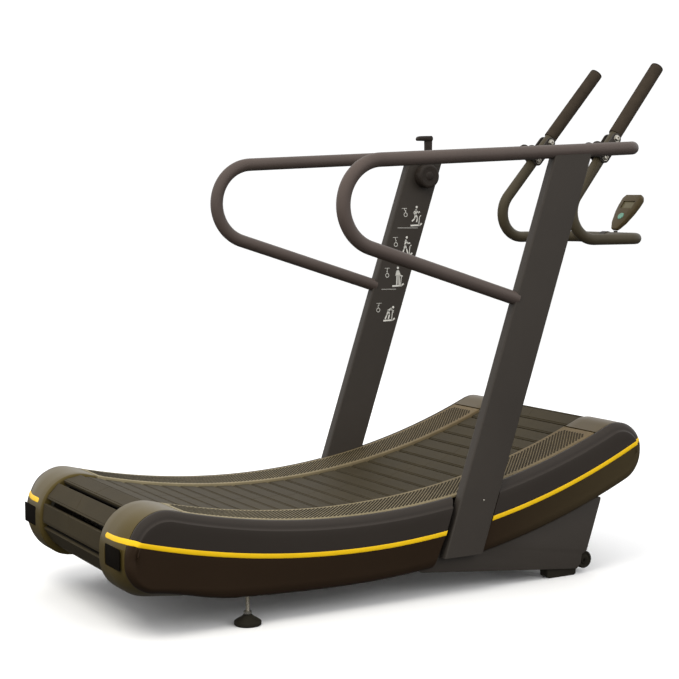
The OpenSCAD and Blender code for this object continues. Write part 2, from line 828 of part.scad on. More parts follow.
// A clip on the cross bar, with a lug and a short post under the console.
module console_stem() {
  post_r = 7;
  post_x = console_at[0] + 10;
  clip_t = 2.5;
  clip_half = 13;
  color([0.15, 0.14, 0.12]) difference() {
    union() {
      axle([bar_x, bar_z], -clip_half, clip_half, bar_r + clip_t);
      translate([bar_x, -post_r, bar_z - post_r]) cube([post_x - bar_x, 2 * post_r, 2 * post_r]);
      translate([post_x, 0, bar_z - post_r]) cylinder(h = console_at[1] - bar_z + post_r, r = post_r);
    }
    axle([bar_x, bar_z], -400, 400, bar_r);
    on_console() console_body();
  }
}

// ---- Resistance selector ----

module selector_base() {
  color([0.1, 0.1, 0.1]) ring(selector_c, hub_y - hub_t, hub_y, 34, hub_pin_r + fit);
}

module selector_lever() {
  arm_top = 118;
  hub_back = hub_y - hub_t - hub_gap;
  color([0.13, 0.12, 0.1]) {
    axle(selector_c, hub_back - 1, hub_y - 1, hub_pin_r);
    axle(selector_c, hub_back - 28, hub_back, 38);
    along_y(hub_back - 22, hub_back - 10) translate(selector_c)
      polygon([[-13, 0], [13, 0], [13, arm_top], [-13, arm_top]]);
    along_y(hub_back - 26, hub_back - 7) translate(selector_c) polygon([[-40, arm_top - 6],
      [12, arm_top - 6], [14, arm_top], [12, arm_top + 10], [-40, arm_top + 8], [-44, arm_top + 1]]);
  }
}

side_plate(1);  // side_plate_left
side_plate(-1);  // side_plate_right
cross_members();
outriggers();
leg(1);  // leg_left
leg(-1);  // leg_right
leg_cross_tube();
foot_blocks();
wheel_axles();
transport_wheel(1);  // transport_wheel_left
transport_wheel(-1);  // transport_wheel_right
rear_foot_nuts();
levelling_foot(1);  // levelling_foot_left
levelling_foot(-1);  // levelling_foot_right
cover(1);  // cover_left
cover(-1);  // cover_right
rear_cap(1);  // rear_cap_left
rear_cap(-1);  // rear_cap_right
rear_bumpers();
nose_cap(1);  // nose_cap_left
nose_cap(-1);  // nose_cap_right
footrest(1);  // footrest_left
footrest(-1);  // footrest_right
stripes(1);  // stripes_left
stripes(-1);  // stripes_right
slat_pads();
slat_carriers();
belt_bands();
guide_rollers();
roller_studs();
front_axle();
front_pulleys();
rear_axle();
rear_pulleys();
axle_bearings();
brake_disc();
brake_yoke();
yoke_pin();
upright(1);  // upright_left
upright(-1);  // upright_right
upright_bolts();
handrail(1);  // handrail_left
handrail(-1);  // handrail_right
handrail_cross_tube();
handlebar_arm(1);  // handlebar_arm_left
handlebar_arm(-1);  // handlebar_arm_right
handlebar_cross_bar();
grip(1);  // grip_left
grip(-1);  // grip_right
grip_end_caps();
handlebar_clamps();
clamp_bolts();
console_case();
console_screen();
console_button();
console_stem();
selector_base();
selector_lever();
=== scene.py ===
import json
import math

import bmesh
import bpy
from mathutils import Matrix, Vector


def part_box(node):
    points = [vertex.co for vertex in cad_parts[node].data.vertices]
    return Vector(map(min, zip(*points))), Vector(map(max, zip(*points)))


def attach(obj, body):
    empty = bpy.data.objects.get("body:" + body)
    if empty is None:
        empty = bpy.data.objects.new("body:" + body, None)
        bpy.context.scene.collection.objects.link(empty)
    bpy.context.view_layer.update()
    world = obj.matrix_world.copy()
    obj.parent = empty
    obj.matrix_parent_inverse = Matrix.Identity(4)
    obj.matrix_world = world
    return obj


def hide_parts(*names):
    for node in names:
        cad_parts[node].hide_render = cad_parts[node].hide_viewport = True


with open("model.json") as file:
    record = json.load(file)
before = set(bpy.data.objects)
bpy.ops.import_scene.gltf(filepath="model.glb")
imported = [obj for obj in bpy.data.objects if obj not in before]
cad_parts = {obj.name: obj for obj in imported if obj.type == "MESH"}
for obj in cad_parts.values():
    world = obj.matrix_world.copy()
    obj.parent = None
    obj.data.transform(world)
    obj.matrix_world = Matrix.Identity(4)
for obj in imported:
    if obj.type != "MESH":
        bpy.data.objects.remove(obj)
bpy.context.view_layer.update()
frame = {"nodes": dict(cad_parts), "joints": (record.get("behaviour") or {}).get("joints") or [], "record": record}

# Lengths below are in millimetres, in the CAD's frame. Meshes are scaled to metres as they are made.
MM = 0.001
SIDES = ((1, "left"), (-1, "right"))
ACROSS, UP = (0, 1, 0), (0, 0, 1)
scene = bpy.context.scene
nodes = frame["nodes"]
joint_at = {j["name"]: [c / MM for c in j["pos_m"]] for j in frame["joints"] if "pos_m" in j}


# ---------------------------------------------------------------- plane geometry
def rad(a):
    return math.radians(a)


def polar(c, r, a):
    return (c[0] + r * math.cos(rad(a)), c[1] + r * math.sin(rad(a)))


def heading(a, b):
    return math.degrees(math.atan2(b[1] - a[1], b[0] - a[0]))


def lerp(a, b, t):
    return a + (b - a) * t


def clamp01(t):
    return max(0.0, min(1.0, t))


def smooth(a, b, x):
    t = clamp01((x - a) / (b - a))
    return t * t * (3 - 2 * t)


def span_y(side, a, b):
    """Two places across the machine, mirrored to a side and in rising order."""
    return sorted((side * a, side * b))


def arc_points(c, r, a0, a1, n):
    return [polar(c, r, lerp(a0, a1, i / n)) for i in range(n + 1)]


def table(pairs, x):
    """Straight-line interpolation in a short list of (x, y) pairs."""
    if x <= pairs[0][0]:
        return pairs[0][1]
    for (x0, y0), (x1, y1) in zip(pairs, pairs[1:]):
        if x <= x1:
            return lerp(y0, y1, (x - x0) / (x1 - x0))
    return pairs[-1][1]


def round_poly(points, r, n=5):
    """A polygon with its corners rounded. r is one radius or one per corner."""
    out = []
    count = len(points)
    for i, p in enumerate(points):
        radius = r[i] if isinstance(r, (list, tuple)) else r
        p = Vector(p)
        a, b = Vector(points[i - 1]) - p, Vector(points[(i + 1) % count]) - p
        la, lb = a.length, b.length
        a.normalize(), b.normalize()
        half = a.angle(b) / 2
        cut = min(radius / math.tan(half), 0.48 * la, 0.48 * lb)
        if cut < 0.05:
            out.append(tuple(p))
            continue
        for k in range(n + 1):
            t = k / n
            q = (p + a * cut) * (1 - t) ** 2 + p * 2 * t * (1 - t) + (p + b * cut) * t * t
            out.append(tuple(q))
    return out


# ---------------------------------------------------------------- machine geometry, as in the CAD source
FRONT_C = (joint_at["front_drum_turn"][0], joint_at["front_drum_turn"][2])
REAR_C = (joint_at["rear_drum_turn"][0], joint_at["rear_drum_turn"][2])
WHEEL_C = (joint_at["transport_wheel_left_turn"][0], joint_at["transport_wheel_left_turn"][2])
SELECTOR_C = (joint_at["selector_turn"][0], joint_at["selector_turn"][2])
FOOT_X = (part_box("levelling_foot_left")[0].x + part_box("levelling_foot_left")[1].x) / 2 / MM
DECK_R = 2120
DECK_C = (-295, 249.5 + DECK_R)
REAR_R, FRONT_R = 104, 84
SLAT_T, CARRIER_T, SLAT_GAP, SLAT_W, SLAT_PITCH_GOAL = 14, 6, 6, 424, 58
LIP = 6
NOSE_R, CAP_R = FRONT_R + LIP, REAR_R + LIP
HEEL_C, HEEL_R = (-876, 192), 92
BELLY_X, BELLY_Z = -320, 70
COVER_Y, COVER_IN_Y, SLOT_Y, REST_Y = 390, 361.5, 216, 361
WALL = 4
CAP_X, NOSE_SPLIT_X = -800, 512
LEAN_K = math.tan(rad(18.3))
UPRIGHT_X, UPRIGHT_W, UPRIGHT_T, UPRIGHT_MID_Y, UPRIGHT_BASE_Z = 327, 127, 32, 376, 112
RAIL_R, RAIL_Z, RAIL_X, RAIL_SLOPE, LOW_SLOPE = 19, 1239, 652, 2.9, 17.4
LOOP_R, LOOP_X, CORNER_R = 118, -228, 60
BAR_R, GRIP_R, ARM_RISE, ARM_LEAN = 17, 20.5, 50.2, 3.8
BAR_Z, BAR_Y, BAR_BEND, BEND_X, BAR_X, BAR_CORNER_R = 969, 180, 80, 645, 840, 55
ARM_L, GRIP_L, CLAMP_S, CLAMP_BOLT_S, CLAMP_HALF = 517, 276, 186, 37, 18
CONSOLE_AT, CONSOLE_TILT, CONSOLE_L = (BAR_X + 32, BAR_Z + 27), 53, 137
CONSOLE_T, CONSOLE_FOOT_T = 24, 16
LEG_Y, LEG_T = 354, 6
RUN_STEP = 4.0

A_REAR, A_FRONT = heading(DECK_C, REAR_C), heading(DECK_C, FRONT_C)


def belly_radius(c, r):
    up = c[1] - BELLY_Z
    return ((c[0] - BELLY_X) ** 2 + up ** 2 - r * r) / (2 * (up - r))


BELLY_REAR_R, BELLY_FRONT_R = belly_radius(HEEL_C, HEEL_R), belly_radius(FRONT_C, NOSE_R)
BELLY_REAR_C, BELLY_FRONT_C = (BELLY_X, BELLY_Z + BELLY_REAR_R), (BELLY_X, BELLY_Z + BELLY_FRONT_R)
A_BELLY_NOSE, A_BELLY_HEEL = heading(BELLY_FRONT_C, FRONT_C), heading(BELLY_REAR_C, HEEL_C)


def upright_rear(z):
    return UPRIGHT_X + (z - 1199) * LEAN_K


def rail_at(x):
    return RAIL_Z + (x - RAIL_X) * math.tan(rad(RAIL_SLOPE))


def arc_run(c, r, a0, a1, sign):
    """Places with outward normals (x, z, nx, nz) along an arc. sign is -1 where the body lies outside it."""
    n = max(6, int(abs(rad(a1 - a0)) * r / RUN_STEP))
    run = []
    for i in range(n + 1):
        a = rad(lerp(a0, a1, i / n))
        run.append((c[0] + r * math.cos(a), c[1] + r * math.sin(a), sign * math.cos(a), sign * math.sin(a)))
    return run


def resample(run, n):
    """n + 1 places at even steps along a run."""
    at = [0.0]
    for p, q in zip(run, run[1:]):
        at.append(at[-1] + math.hypot(q[0] - p[0], q[1] - p[1]))
    out, k = [], 0
    for i in range(n + 1):
        s = at[-1] * i / n
        while k < len(run) - 2 and at[k + 1] < s:
            k += 1
        t = clamp01((s - at[k]) / max(at[k + 1] - at[k], 1e-9))
        x, z, nx, nz = (lerp(run[k][j], run[k + 1][j], t) for j in range(4))
        m = math.hypot(nx, nz)
        out.append((x, z, nx / m, nz / m))
    return out


UPPER_RUN = (arc_run(REAR_C, CAP_R, 180, A_REAR + 180, 1)
             + arc_run(DECK_C, DECK_R - LIP, A_REAR, A_FRONT, -1)
             + arc_run(FRONT_C, NOSE_R, A_FRONT + 180, 0, 1))
LOWER_RUN = (arc_run(REAR_C, CAP_R, 180, 180.01, 1)
             + arc_run(HEEL_C, HEEL_R, 180, A_BELLY_HEEL + 360, 1)
             + arc_run(BELLY_REAR_C, BELLY_REAR_R, A_BELLY_HEEL, -90, 1)
             + arc_run(BELLY_FRONT_C, BELLY_FRONT_R, -90, A_BELLY_NOSE, 1)
             + arc_run(FRONT_C, NOSE_R, A_BELLY_NOSE, 0, 1))


def inset_point(station, d):
    return (station[0] - station[2] * d, station[1] - station[3] * d)


# Where the end cap starts to roll in towards the cover, and how fast.
ROLL_Y, ROLL_POWER = 292, 1.8


def roll(y):
    """Share of the rim's step that the cap has taken at a place across."""
    return clamp01((y - ROLL_Y) / (REST_Y - ROLL_Y)) ** ROLL_POWER


# How far the cover's rim stands inside the end cap's outline, by the direction the outline faces.
RIM_STEP = ((75, 0), (95, 1), (125, 6), (150, 13), (180, 11), (205, 16), (235, 20), (263, 20))


def rim_step(station):
    x, z, nx, nz = station
    a = math.degrees(math.atan2(nz, nx)) % 360
    if x > -600 or a < 70 or a > 275:
        return 0.0
    return table(RIM_STEP, a) * (1 - smooth(-880, -660, x))


# ---------------------------------------------------------------- meshes
def make(name, verts, faces, material, sharp=32, scale=MM):
    mesh = bpy.data.meshes.new(name)
    mesh.from_pydata([tuple(c * scale for c in v) for v in verts], [], faces)
    bm = bmesh.new()
    bm.from_mesh(mesh)
    bmesh.ops.remove_doubles(bm, verts=bm.verts, dist=1e-6)
    bmesh.ops.dissolve_degenerate(bm, edges=bm.edges, dist=1e-7)
    bmesh.ops.recalc_face_normals(bm, faces=bm.faces)
    bm.to_mesh(mesh)
    bm.free()
    mesh.shade_smooth()
    mesh.set_sharp_from_angle(angle=rad(sharp))
    mesh.materials.append(material)
    obj = bpy.data.objects.new(name, mesh)
    scene.collection.objects.link(obj)
    return obj


def bake(obj, sharp=32):
    """Applies the modifiers of a piece."""
    graph = bpy.context.evaluated_depsgraph_get()
    mesh = bpy.data.meshes.new_from_object(obj.evaluated_get(graph))
    obj.modifiers.clear()
    old, obj.data = obj.data, mesh
    bpy.data.meshes.remove(old)
    mesh.shade_smooth()
    mesh.set_sharp_from_angle(angle=rad(sharp))
    return obj


def solidify(obj, thickness, sharp=32):
    mod = obj.modifiers.new("wall", "SOLIDIFY")
    mod.thickness = thickness * MM
    mod.offset = -1
    mod.use_even_offset = True
    mod.use_quality_normals = True
    return bake(obj, sharp)


def cut(obj, cutters, sharp=32):
    for cutter in cutters:
        mod = obj.modifiers.new("cut", "BOOLEAN")
        mod.operation = "DIFFERENCE"
        mod.solver = "EXACT"
        mod.use_self = True
        mod.object = cutter
    bake(obj, sharp)
    for cutter in cutters:
        bpy.data.objects.remove(cutter)
    return obj


def joined(name, parts):
    """One piece from several. All share the first one's material."""
    verts, faces = [], []
    for obj in parts:
        start = len(verts)
        verts += [tuple(v.co) for v in obj.data.vertices]
        faces += [tuple(start + i for i in p.vertices) for p in obj.data.polygons]
    material = parts[0].data.materials[0]
    for obj in parts:
        bpy.data.objects.remove(obj)
    return make(name, verts, faces, material, scale=1)


def loft(rings, ends=True):
    """Verts and faces through rings of equal length. ends caps the first and last ring."""
    n = len(rings[0])
    verts = [p for ring in rings for p in ring]
    faces = []
    for k in range(len(rings) - 1):
        for i in range(n):
            j = (i + 1) % n
            faces.append((k * n + i, k * n + j, (k + 1) * n + j, (k + 1) * n + i))
    if ends:
        faces.append(tuple(range(n)))
        faces.append(tuple((len(rings) - 1) * n + i for i in range(n)))
    return verts, faces


def plate(name, outline, y0, y1, material, edge=1.0):
    """A plate across Y from an XZ outline, its rims rounded by edge."""
    count = len(outline)
    area = sum(outline[i - 1][0] * outline[i][1] - outline[i][0] * outline[i - 1][1] for i in range(count))
    turn = 1 if area > 0 else -1

    def across(a, b):
        d = Vector(b) - Vector(a)
        return Vector((-d.y, d.x)).normalized() * turn if d.length > 1e-9 else Vector((0, 0))

    inward = []
    for i in range(count):
        na, nb = across(outline[i - 1], outline[i]), across(outline[i], outline[(i + 1) % count])
        m = na + nb
        inward.append(m / max(m.length_squared, 0.35) * 2 if m.length > 1e-6 else na)
    quarter = [rad(30 * k) for k in range(4)]
    rims = [(edge * (1 - math.sin(a)), y0 + edge * (1 - math.cos(a))) for a in quarter]
    rims += [(edge * (1 - math.cos(a)), y1 - edge * (1 - math.sin(a))) for a in quarter]
    rings = [[(p[0] + q.x * d, y, p[1] + q.y * d) for p, q in zip(outline, inward)] for d, y in rims]
    return make(name, *loft(rings), material)


def turned(name, profile, centre, axis, material, n=48, sharp=32):
    """A turned piece: profile is a closed or axis-to-axis list of (radius, distance along the axis)."""
    axis = Vector(axis).normalized()
    side = axis.orthogonal().normalized()
    other = axis.cross(side)
    centre = Vector(centre)
    verts, faces, index = [], [], []
    for r, h in profile:
        ring = []
        if abs(r) < 1e-6:
            ring = [len(verts)] * n
            verts.append(tuple(centre + axis * h))
        else:
            for i in range(n):
                a = 2 * math.pi * i / n
                ring.append(len(verts))
                verts.append(tuple(centre + axis * h + (side * math.cos(a) + other * math.sin(a)) * r))
        index.append(ring)
    closed = abs(profile[0][0]) > 1e-6
    pairs = list(zip(index, index[1:])) + ([(index[-1], index[0])] if closed else [])
    for lo, hi in pairs:
        for i in range(n):
            j = (i + 1) % n
            face = []
            for v in (lo[i], lo[j], hi[j], hi[i]):
                if v not in face:
                    face.append(v)
            if len(face) > 2:
                faces.append(tuple(face))
    return make(name, verts, faces, material, sharp)


def tube(name, path, r, material, n):
    """A tube along a path of points."""
    path = [Vector(p) for p in path]
    tangents = []
    for i in range(len(path)):
        a, b = path[max(i - 1, 0)], path[min(i + 1, len(path) - 1)]
        tangents.append((b - a).normalized())
    normal = tangents[0].orthogonal().normalized()
    turns = [2 * math.pi * k / n for k in range(n)]
    rings = []
    for i, p in enumerate(path):
        if i:
            turn = tangents[i - 1].rotation_difference(tangents[i])
            normal = turn @ normal
        normal = (normal - tangents[i] * normal.dot(tangents[i])).normalized()
        other = tangents[i].cross(normal)
        rings.append([tuple(p + (normal * math.cos(a) + other * math.sin(a)) * r) for a in turns])
    return make(name, *loft(rings), material, 40)


def bolt(name, at, axis, r, h, material):
    """A domed bolt head on a washer, its seat at a point."""
    washer = [(0, 0), (r * 1.25, 0), (r * 1.3, h * 0.08), (r * 1.3, h * 0.2), (r * 1.22, h * 0.26)]
    dome = [(r, h * 0.26), (r, h * 0.5)]
    for k in range(1, 7):
        a = rad(90 * k / 6)
        rim = r * 0.55 + r * 0.45 * math.cos(a) if k < 6 else r * 0.55
        dome.append((rim, h * 0.5 + h * 0.5 * math.sin(a)))
    socket = [(r * 0.5, h * 0.97), (r * 0.46, h * 0.6), (0, h * 0.6)]
    return turned(name, washer + dome + socket, at, axis, material, n=36)


def settle(obj, body, slot, *replaced):
    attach(obj, body)
    if replaced:
        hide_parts(*replaced)
    return obj


# ---------------------------------------------------------------- materials
def srgb(r, g, b):
    def one(c):
        c /= 255
        return c / 12.92 if c <= 0.04045 else ((c + 0.055) / 1.055) ** 2.4
    return (one(r), one(g), one(b), 1)


def feed(tree, node, inputs):
    """Sets a node's inputs: a socket is linked, and anything else is a constant."""
    for key, value in inputs.items():
        if isinstance(value, bpy.types.NodeSocket):
            tree.links.new(value, node.inputs[key])
        else:
            node.inputs[key].default_value = value


ROUGH_SPAN = 0.08


def surface(name, colour, rough, tone, grain, specular=0.5, metallic=0.0, cells=None, streak=None,
            tint=(1, 1, 1, 1), along=None):
    """A procedural finish: slow tone changes, and a fine grain that dents the surface and varies its gloss.

    tone is an amount and a scale. grain, and cells, a second set of dents, are a scale and a depth in
    millimetres. streak stretches the grain. along is a slow change of tone along the machine: a rear and a
    front X in metres, and the factor on the colour at each.
    """
    material = bpy.data.materials.new(name)
    material.use_nodes = True
    tree = material.node_tree

    def add(kind, inputs, **settings):
        node = tree.nodes.new("ShaderNode" + kind)
        for key, value in settings.items():
            setattr(node, key, value)
        feed(tree, node, inputs)
        return node.outputs

    def blend(factor, low, high, places=(0, 1)):
        node = tree.nodes.new("ShaderNodeValToRGB")
        for element, place, value in zip(node.color_ramp.elements, places, (low, high)):
            element.position, element.color = place, value
        feed(tree, node, {"Fac": factor})
        return node.outputs["Color"]

    def multiply(factor, a, b):
        inputs = {"Factor": factor, "A": a, "B": b}
        return add("Mix", inputs, data_type="RGBA", blend_type="MULTIPLY")["Result"]

    def shaded(k):
        return tuple(min(1, c * k) for c in colour[:3]) + (1,)

    where = add("TexCoord", {})["Object"]
    grained = add("Mapping", {"Vector": where, "Scale": streak})["Vector"] if streak else where
    slow = add("TexNoise", {"Vector": where, "Scale": tone[1], "Detail": 5, "Roughness": 0.6})["Fac"]
    fine = add("TexNoise", {"Vector": grained, "Scale": grain[0], "Detail": 3})["Fac"]
    specks = blend(fine, (0.75, 0.75, 0.75, 1), (1.25, 1.25, 1.25, 1))
    base = blend(slow, shaded(1 - tone[0]), shaded(1 + tone[0]), (0.3, 0.7))
    paint = multiply(min(1.0, tone[0] * 1.5), base, specks)
    if along:
        x_rear, x_front, rear, front = along
        x = add("SeparateXYZ", {"Vector": where})["X"]
        share = add("MapRange", {"Value": x, "From Min": x_rear, "From Max": x_front})["Result"]
        shade = add("Mix", {"Factor": share, "A": rear, "B": front}, data_type="RGBA")["Result"]
        paint = multiply(1, paint, shade)
    both = add("Math", {0: fine, 1: slow}, operation="ADD")["Value"]
    low, high = max(0.02, rough - ROUGH_SPAN), min(1.0, rough + ROUGH_SPAN)
    gloss = {"Value": both, "From Max": 2, "To Min": low, "To Max": high}
    normal = add("Bump", {"Strength": 1.0, "Distance": grain[1] * MM, "Height": fine})["Normal"]
    if cells:
        spots = add("TexVoronoi", {"Vector": where, "Scale": cells[0]})["Distance"]
        dent = {"Strength": 1.0, "Distance": cells[1] * MM, "Height": spots, "Normal": normal}
        normal = add("Bump", dent)["Normal"]
    feed(tree, tree.nodes["Principled BSDF"], {
        "Base Color": paint, "Roughness": add("MapRange", gloss)["Result"], "Normal": normal,
        "Metallic": metallic, "Specular IOR Level": specular, "Specular Tint": tint})
    return material


POWDER = surface("powder_coat", srgb(60, 55, 50), 0.5, (0.07, 4), (1400, 0.035), 0.22, cells=(700, 0.03))
TUBE = surface("tube_paint", srgb(81, 71, 66), 0.46, (0.07, 5), (1400, 0.03), 0.25, cells=(700, 0.03))
BAR_PAINT = surface("bar_paint", srgb(70, 63, 48), 0.46, (0.08, 6), (1400, 0.03), 0.22, cells=(700, 0.03))
COVER = surface("cover_plastic", srgb(49, 44, 40), 0.42, (0.07, 3), (1800, 0.02), 0.2, cells=(1300, 0.025),
                along=(-0.9, 0.6, (0.95, 0.93, 0.9, 1), (1.05, 1.03, 1, 1)))
# Painted shade: the cover's own plastic, made darker and browner, for the side below the stripe; it turns lighter
# towards the nose.
COVER_PAINTED_SHADE = surface("cover_plastic_painted_shade", srgb(50, 42, 36), 0.45, (0.07, 3), (1800, 0.02), 0.14,
                    cells=(1300, 0.025), along=(0.1, 0.62, (0.86, 0.7, 0.49, 1), (1.85, 1.9, 1.2, 1)))
CAP = surface("cap_plastic", srgb(79, 69, 40), 0.36, (0.09, 5), (1600, 0.02), 0.26, tint=(1, 0.88, 0.62, 1),
              along=(-0.8, 0.55, (0.93, 0.88, 0.7, 1), (0.72, 0.62, 0.5, 1)))
RUBBER = surface("footrest_rubber", srgb(118, 109, 87), 0.62, (0.12, 14), (1000, 0.08), 0.16,
                 cells=(900, 0.05), along=(-0.7, 0.5, (1.3, 1.3, 1.25, 1), (0.72, 0.62, 0.52, 1)))
RUBBER_LOW = surface("footrest_studs", srgb(44, 39, 29), 0.7, (0.12, 14), (1000, 0.08), 0.12)
TREAD = surface("tread_rubber", srgb(56, 49, 34), 0.6, (0.12, 9), (1100, 0.09), 0.09, cells=(1100, 0.05))
BLACK = surface("black_rubber", srgb(40, 37, 30), 0.7, (0.2, 20), (900, 0.12), 0.1)
BUMPER = surface("bumper_rubber", srgb(15, 11, 6), 0.75, (0.2, 20), (900, 0.12), 0.05)
YELLOW = surface("stripe_yellow", srgb(247, 200, 20), 0.4, (0.05, 12), (1500, 0.015), 0.25)
ALUMINIUM = surface("brushed_aluminium", srgb(176, 176, 178), 0.38, (0.06, 20), (500, 0.02), metallic=1.0,
                    streak=(1, 14, 1))
STEEL = surface("frame_paint", srgb(30, 27, 22), 0.6, (0.1, 7), (900, 0.05), 0.1)
ZINC = surface("zinc_plate", srgb(205, 200, 188), 0.27, (0.08, 40), (1200, 0.02), metallic=1.0)
NYLON = surface("moulded_nylon", srgb(44, 38, 33), 0.48, (0.1, 16), (1500, 0.05), 0.22)
FOAM = surface("grip_foam", srgb(60, 52, 43), 0.8, (0.14, 30), (2200, 0.12), 0.12, cells=(1500, 0.1))
CASE = surface("console_plastic", srgb(74, 63, 42), 0.42, (0.08, 20), (2000, 0.02), 0.2,
               tint=(1, 0.9, 0.7, 1))
LENS = surface("screen_lens", srgb(104, 97, 74), 0.3, (0.1, 60), (3000, 0.002), 0.15)
TEAL = surface("button_teal", srgb(112, 158, 138), 0.4, (0.06, 80), (2500, 0.02), 0.2)
PRINT = surface("white_print", srgb(226, 224, 216), 0.5, (0.04, 60), (2000, 0.01))

finish_of_slot = {
    "frame_steel": STEEL, "powder_coat": POWDER, "cover_shell": COVER, "cap_shell": CAP,
    "footrest_rubber": RUBBER, "stripe_yellow": YELLOW, "tread_rubber": TREAD, "aluminium": ALUMINIUM,
    "black_rubber": BLACK, "nylon_black": NYLON, "grip_foam": FOAM, "console_plastic": CASE,
    "screen_lens": LENS, "button_teal": TEAL, "zinc_steel": ZINC,
}
for part in frame["record"]["subparts"]:
    slots, finish = nodes[part["node"]].data.materials, finish_of_slot[part["material_slot"]]
    if not len(slots):
        slots.append(finish)
    for i in range(len(slots)):
        slots[i] = finish

# ---------------------------------------------------------------- covers
# Depth inside the outline, and height of the side at that depth, for the upper and the lower edge.
TOP_EDGE = ((2.2, 361.5), (1.0, 362.2), (0.3, 363.8), (0.3, 366.5), (1.6, 370.4), (4.4, 374.4),
            (7.8, 377.7), (11.4, 380.3), (15.4, 381.9), (19.2, 382.5), (21.2, 383.8), (22.8, 386.8),
            (24.8, 389.4), (30, 390))
LOW_EDGE = ((0, 361.5), (0, 363), (0.3, 366), (1.2, 369.5), (2.6, 373), (4.6, 376.3), (7, 379.3), (10, 382),
            (13.4, 384.4), (17, 386.4), (20.5, 387.9), (24, 389), (27, 389.7), (30, 390))
EDGE_DEPTH, STEP_FADE = 30, 0.55
SIDE_TILT = 9
CHAIN_N = 220
SLOT_REAR, SLOT_FRONT = 18, UPRIGHT_W + 1.5
STRIPE_LOW = (-287, 167.5)
STRIPE_REAR_R, STRIPE_FRONT_R, STRIPE_H = 2450, 2170, 13
STRIPE_EDGES = (STRIPE_H / 2, -STRIPE_H / 2)


def stripe_z(x, up):
    """Height of the stripe's line at a place along the side, moved up or down across it."""
    r = STRIPE_REAR_R if x < STRIPE_LOW[0] else STRIPE_FRONT_R
    c = STRIPE_LOW[1] + r
    return c - math.sqrt((r - up) ** 2 - (x - STRIPE_LOW[0]) ** 2)


def faded(step, d):
    """What is left of the rim's step at a depth inside the outline."""
    return step * (1 - smooth(0, EDGE_DEPTH, d) * STEP_FADE)


def edge_point(station, k):
    """Point k of the rounded edge at a station, and its Y."""
    low = smooth(0.5, -0.05, station[3])
    (d_top, y_top), (d_low, y_low) = TOP_EDGE[k], LOW_EDGE[k]
    y_low = COVER_IN_Y + (y_low - COVER_IN_Y) * (COVER_Y - SIDE_TILT - COVER_IN_Y) / (COVER_Y - COVER_IN_Y)
    d = lerp(d_top, d_low, low)
    x, z = inset_point(station, d + faded(rim_step(station), d))
    return x, lerp(y_top, y_low, low), z


def cover_mesh(side, name):
    upper, lower = resample(UPPER_RUN, CHAIN_N), resample(LOWER_RUN, CHAIN_N)
    loop = upper + lower[-2:0:-1]
    n = len(loop)
    rings = [[edge_point(s, k) for s in loop] for k in range(len(TOP_EDGE))]
    verts, faces = loft([[(x, side * y, z) for x, y, z in ring] for ring in rings], ends=False)
    last = (len(rings) - 1) * n

    def ring_index(i, low):
        return last + (n - i) % n if low else last + i

    # The side panel, as columns from the upper edge to the lower one, creased along the stripe.
    columns = []
    shares = [0, 0.25, 0.5, 0.75, 1]
    for i in range(1, CHAIN_N):
        a, b = rings[-1][i], rings[-1][(n - i) % n]
        mid_x = lerp(a[0], b[0], 0.5)
        crease = stripe_z(mid_x, 0)
        crease = max(min(crease, a[2] - 6), b[2] + 6)
        t_mid = clamp01((a[2] - crease) / max(a[2] - b[2], 1e-6))
        column = [ring_index(i, False)]
        for part, (t0, t1) in enumerate(((0, t_mid), (t_mid, 1))):
            for share in (shares[1:] if part == 0 else shares[1:-1]):
                t = lerp(t0, t1, share)
                x, z = lerp(a[0], b[0], t), lerp(a[2], b[2], t)
                y = lerp(a[1], COVER_Y, share) if part == 0 else lerp(COVER_Y, b[1], share)
                column.append(len(verts))
                verts.append((x, side * y, z))
        column.append(ring_index(i, True))
        columns.append(column)
    for p, q in zip(columns, columns[1:]):
        for k in range(len(p) - 1):
            faces.append((p[k], p[k + 1], q[k + 1], q[k]))
    faces.append(tuple([ring_index(0, False)] + columns[0]))
    faces.append(tuple([ring_index(CHAIN_N, False)] + columns[-1]))
    return make(name, verts, faces, COVER, 40)


def slab(name, outline, y0, y1):
    return make(name, *loft([[(x, y, z) for x, z in outline] for y in (y0, y1)]), COVER)


def slot_outline():
    z0, z1 = UPRIGHT_BASE_Z - 30, 700
    return [(upright_rear(z0) - SLOT_REAR, z0), (upright_rear(z0) + SLOT_FRONT, z0),
            (upright_rear(z1) + SLOT_FRONT, z1), (upright_rear(z1) - SLOT_REAR, z1)]


for side, hand in SIDES:
    cover = cover_mesh(side, "cover_shell_" + hand)
    solidify(cover, WALL, sharp=40)
    cut(cover, [slab("slot_cut", slot_outline(), *span_y(side, COVER_IN_Y - 12, COVER_Y + 12))], 40)
    # The side below the stripe gets painted shade: the same plastic, made darker and browner.
    cover.data.materials.append(COVER_PAINTED_SHADE)
    for p in cover.data.polygons:
        x, y, z = p.center / MM
        if z < stripe_z(x, 0):
            p.material_index = 1
    settle(cover, "frame", "cover_shell", "cover_" + hand)


# ---------------------------------------------------------------- stripes
def side_depth(x, z):
    """Depth of a place on the side inside the upper outline."""
    if x < REAR_C[0]:
        return CAP_R - math.hypot(x - REAR_C[0], z - REAR_C[1])
    if heading(FRONT_C, (x, z)) < A_FRONT + 180 and x > FRONT_C[0] - 60:
        return NOSE_R - math.hypot(x - FRONT_C[0], z - FRONT_C[1])
    return math.hypot(x - DECK_C[0], z - DECK_C[1]) - (DECK_R - LIP)


def side_y(x, z):
    d = side_depth(x, z)
    return table(TOP_EDGE[1:], d) if d < EDGE_DEPTH else COVER_Y


RIBBON_T = 2.0
RIBBON_CROWN = ((0, -0.35), (0.06, 0.15), (0.2, 0.5), (0.5, 0.55), (0.8, 0.5), (0.94, 0.15), (1, -0.35))


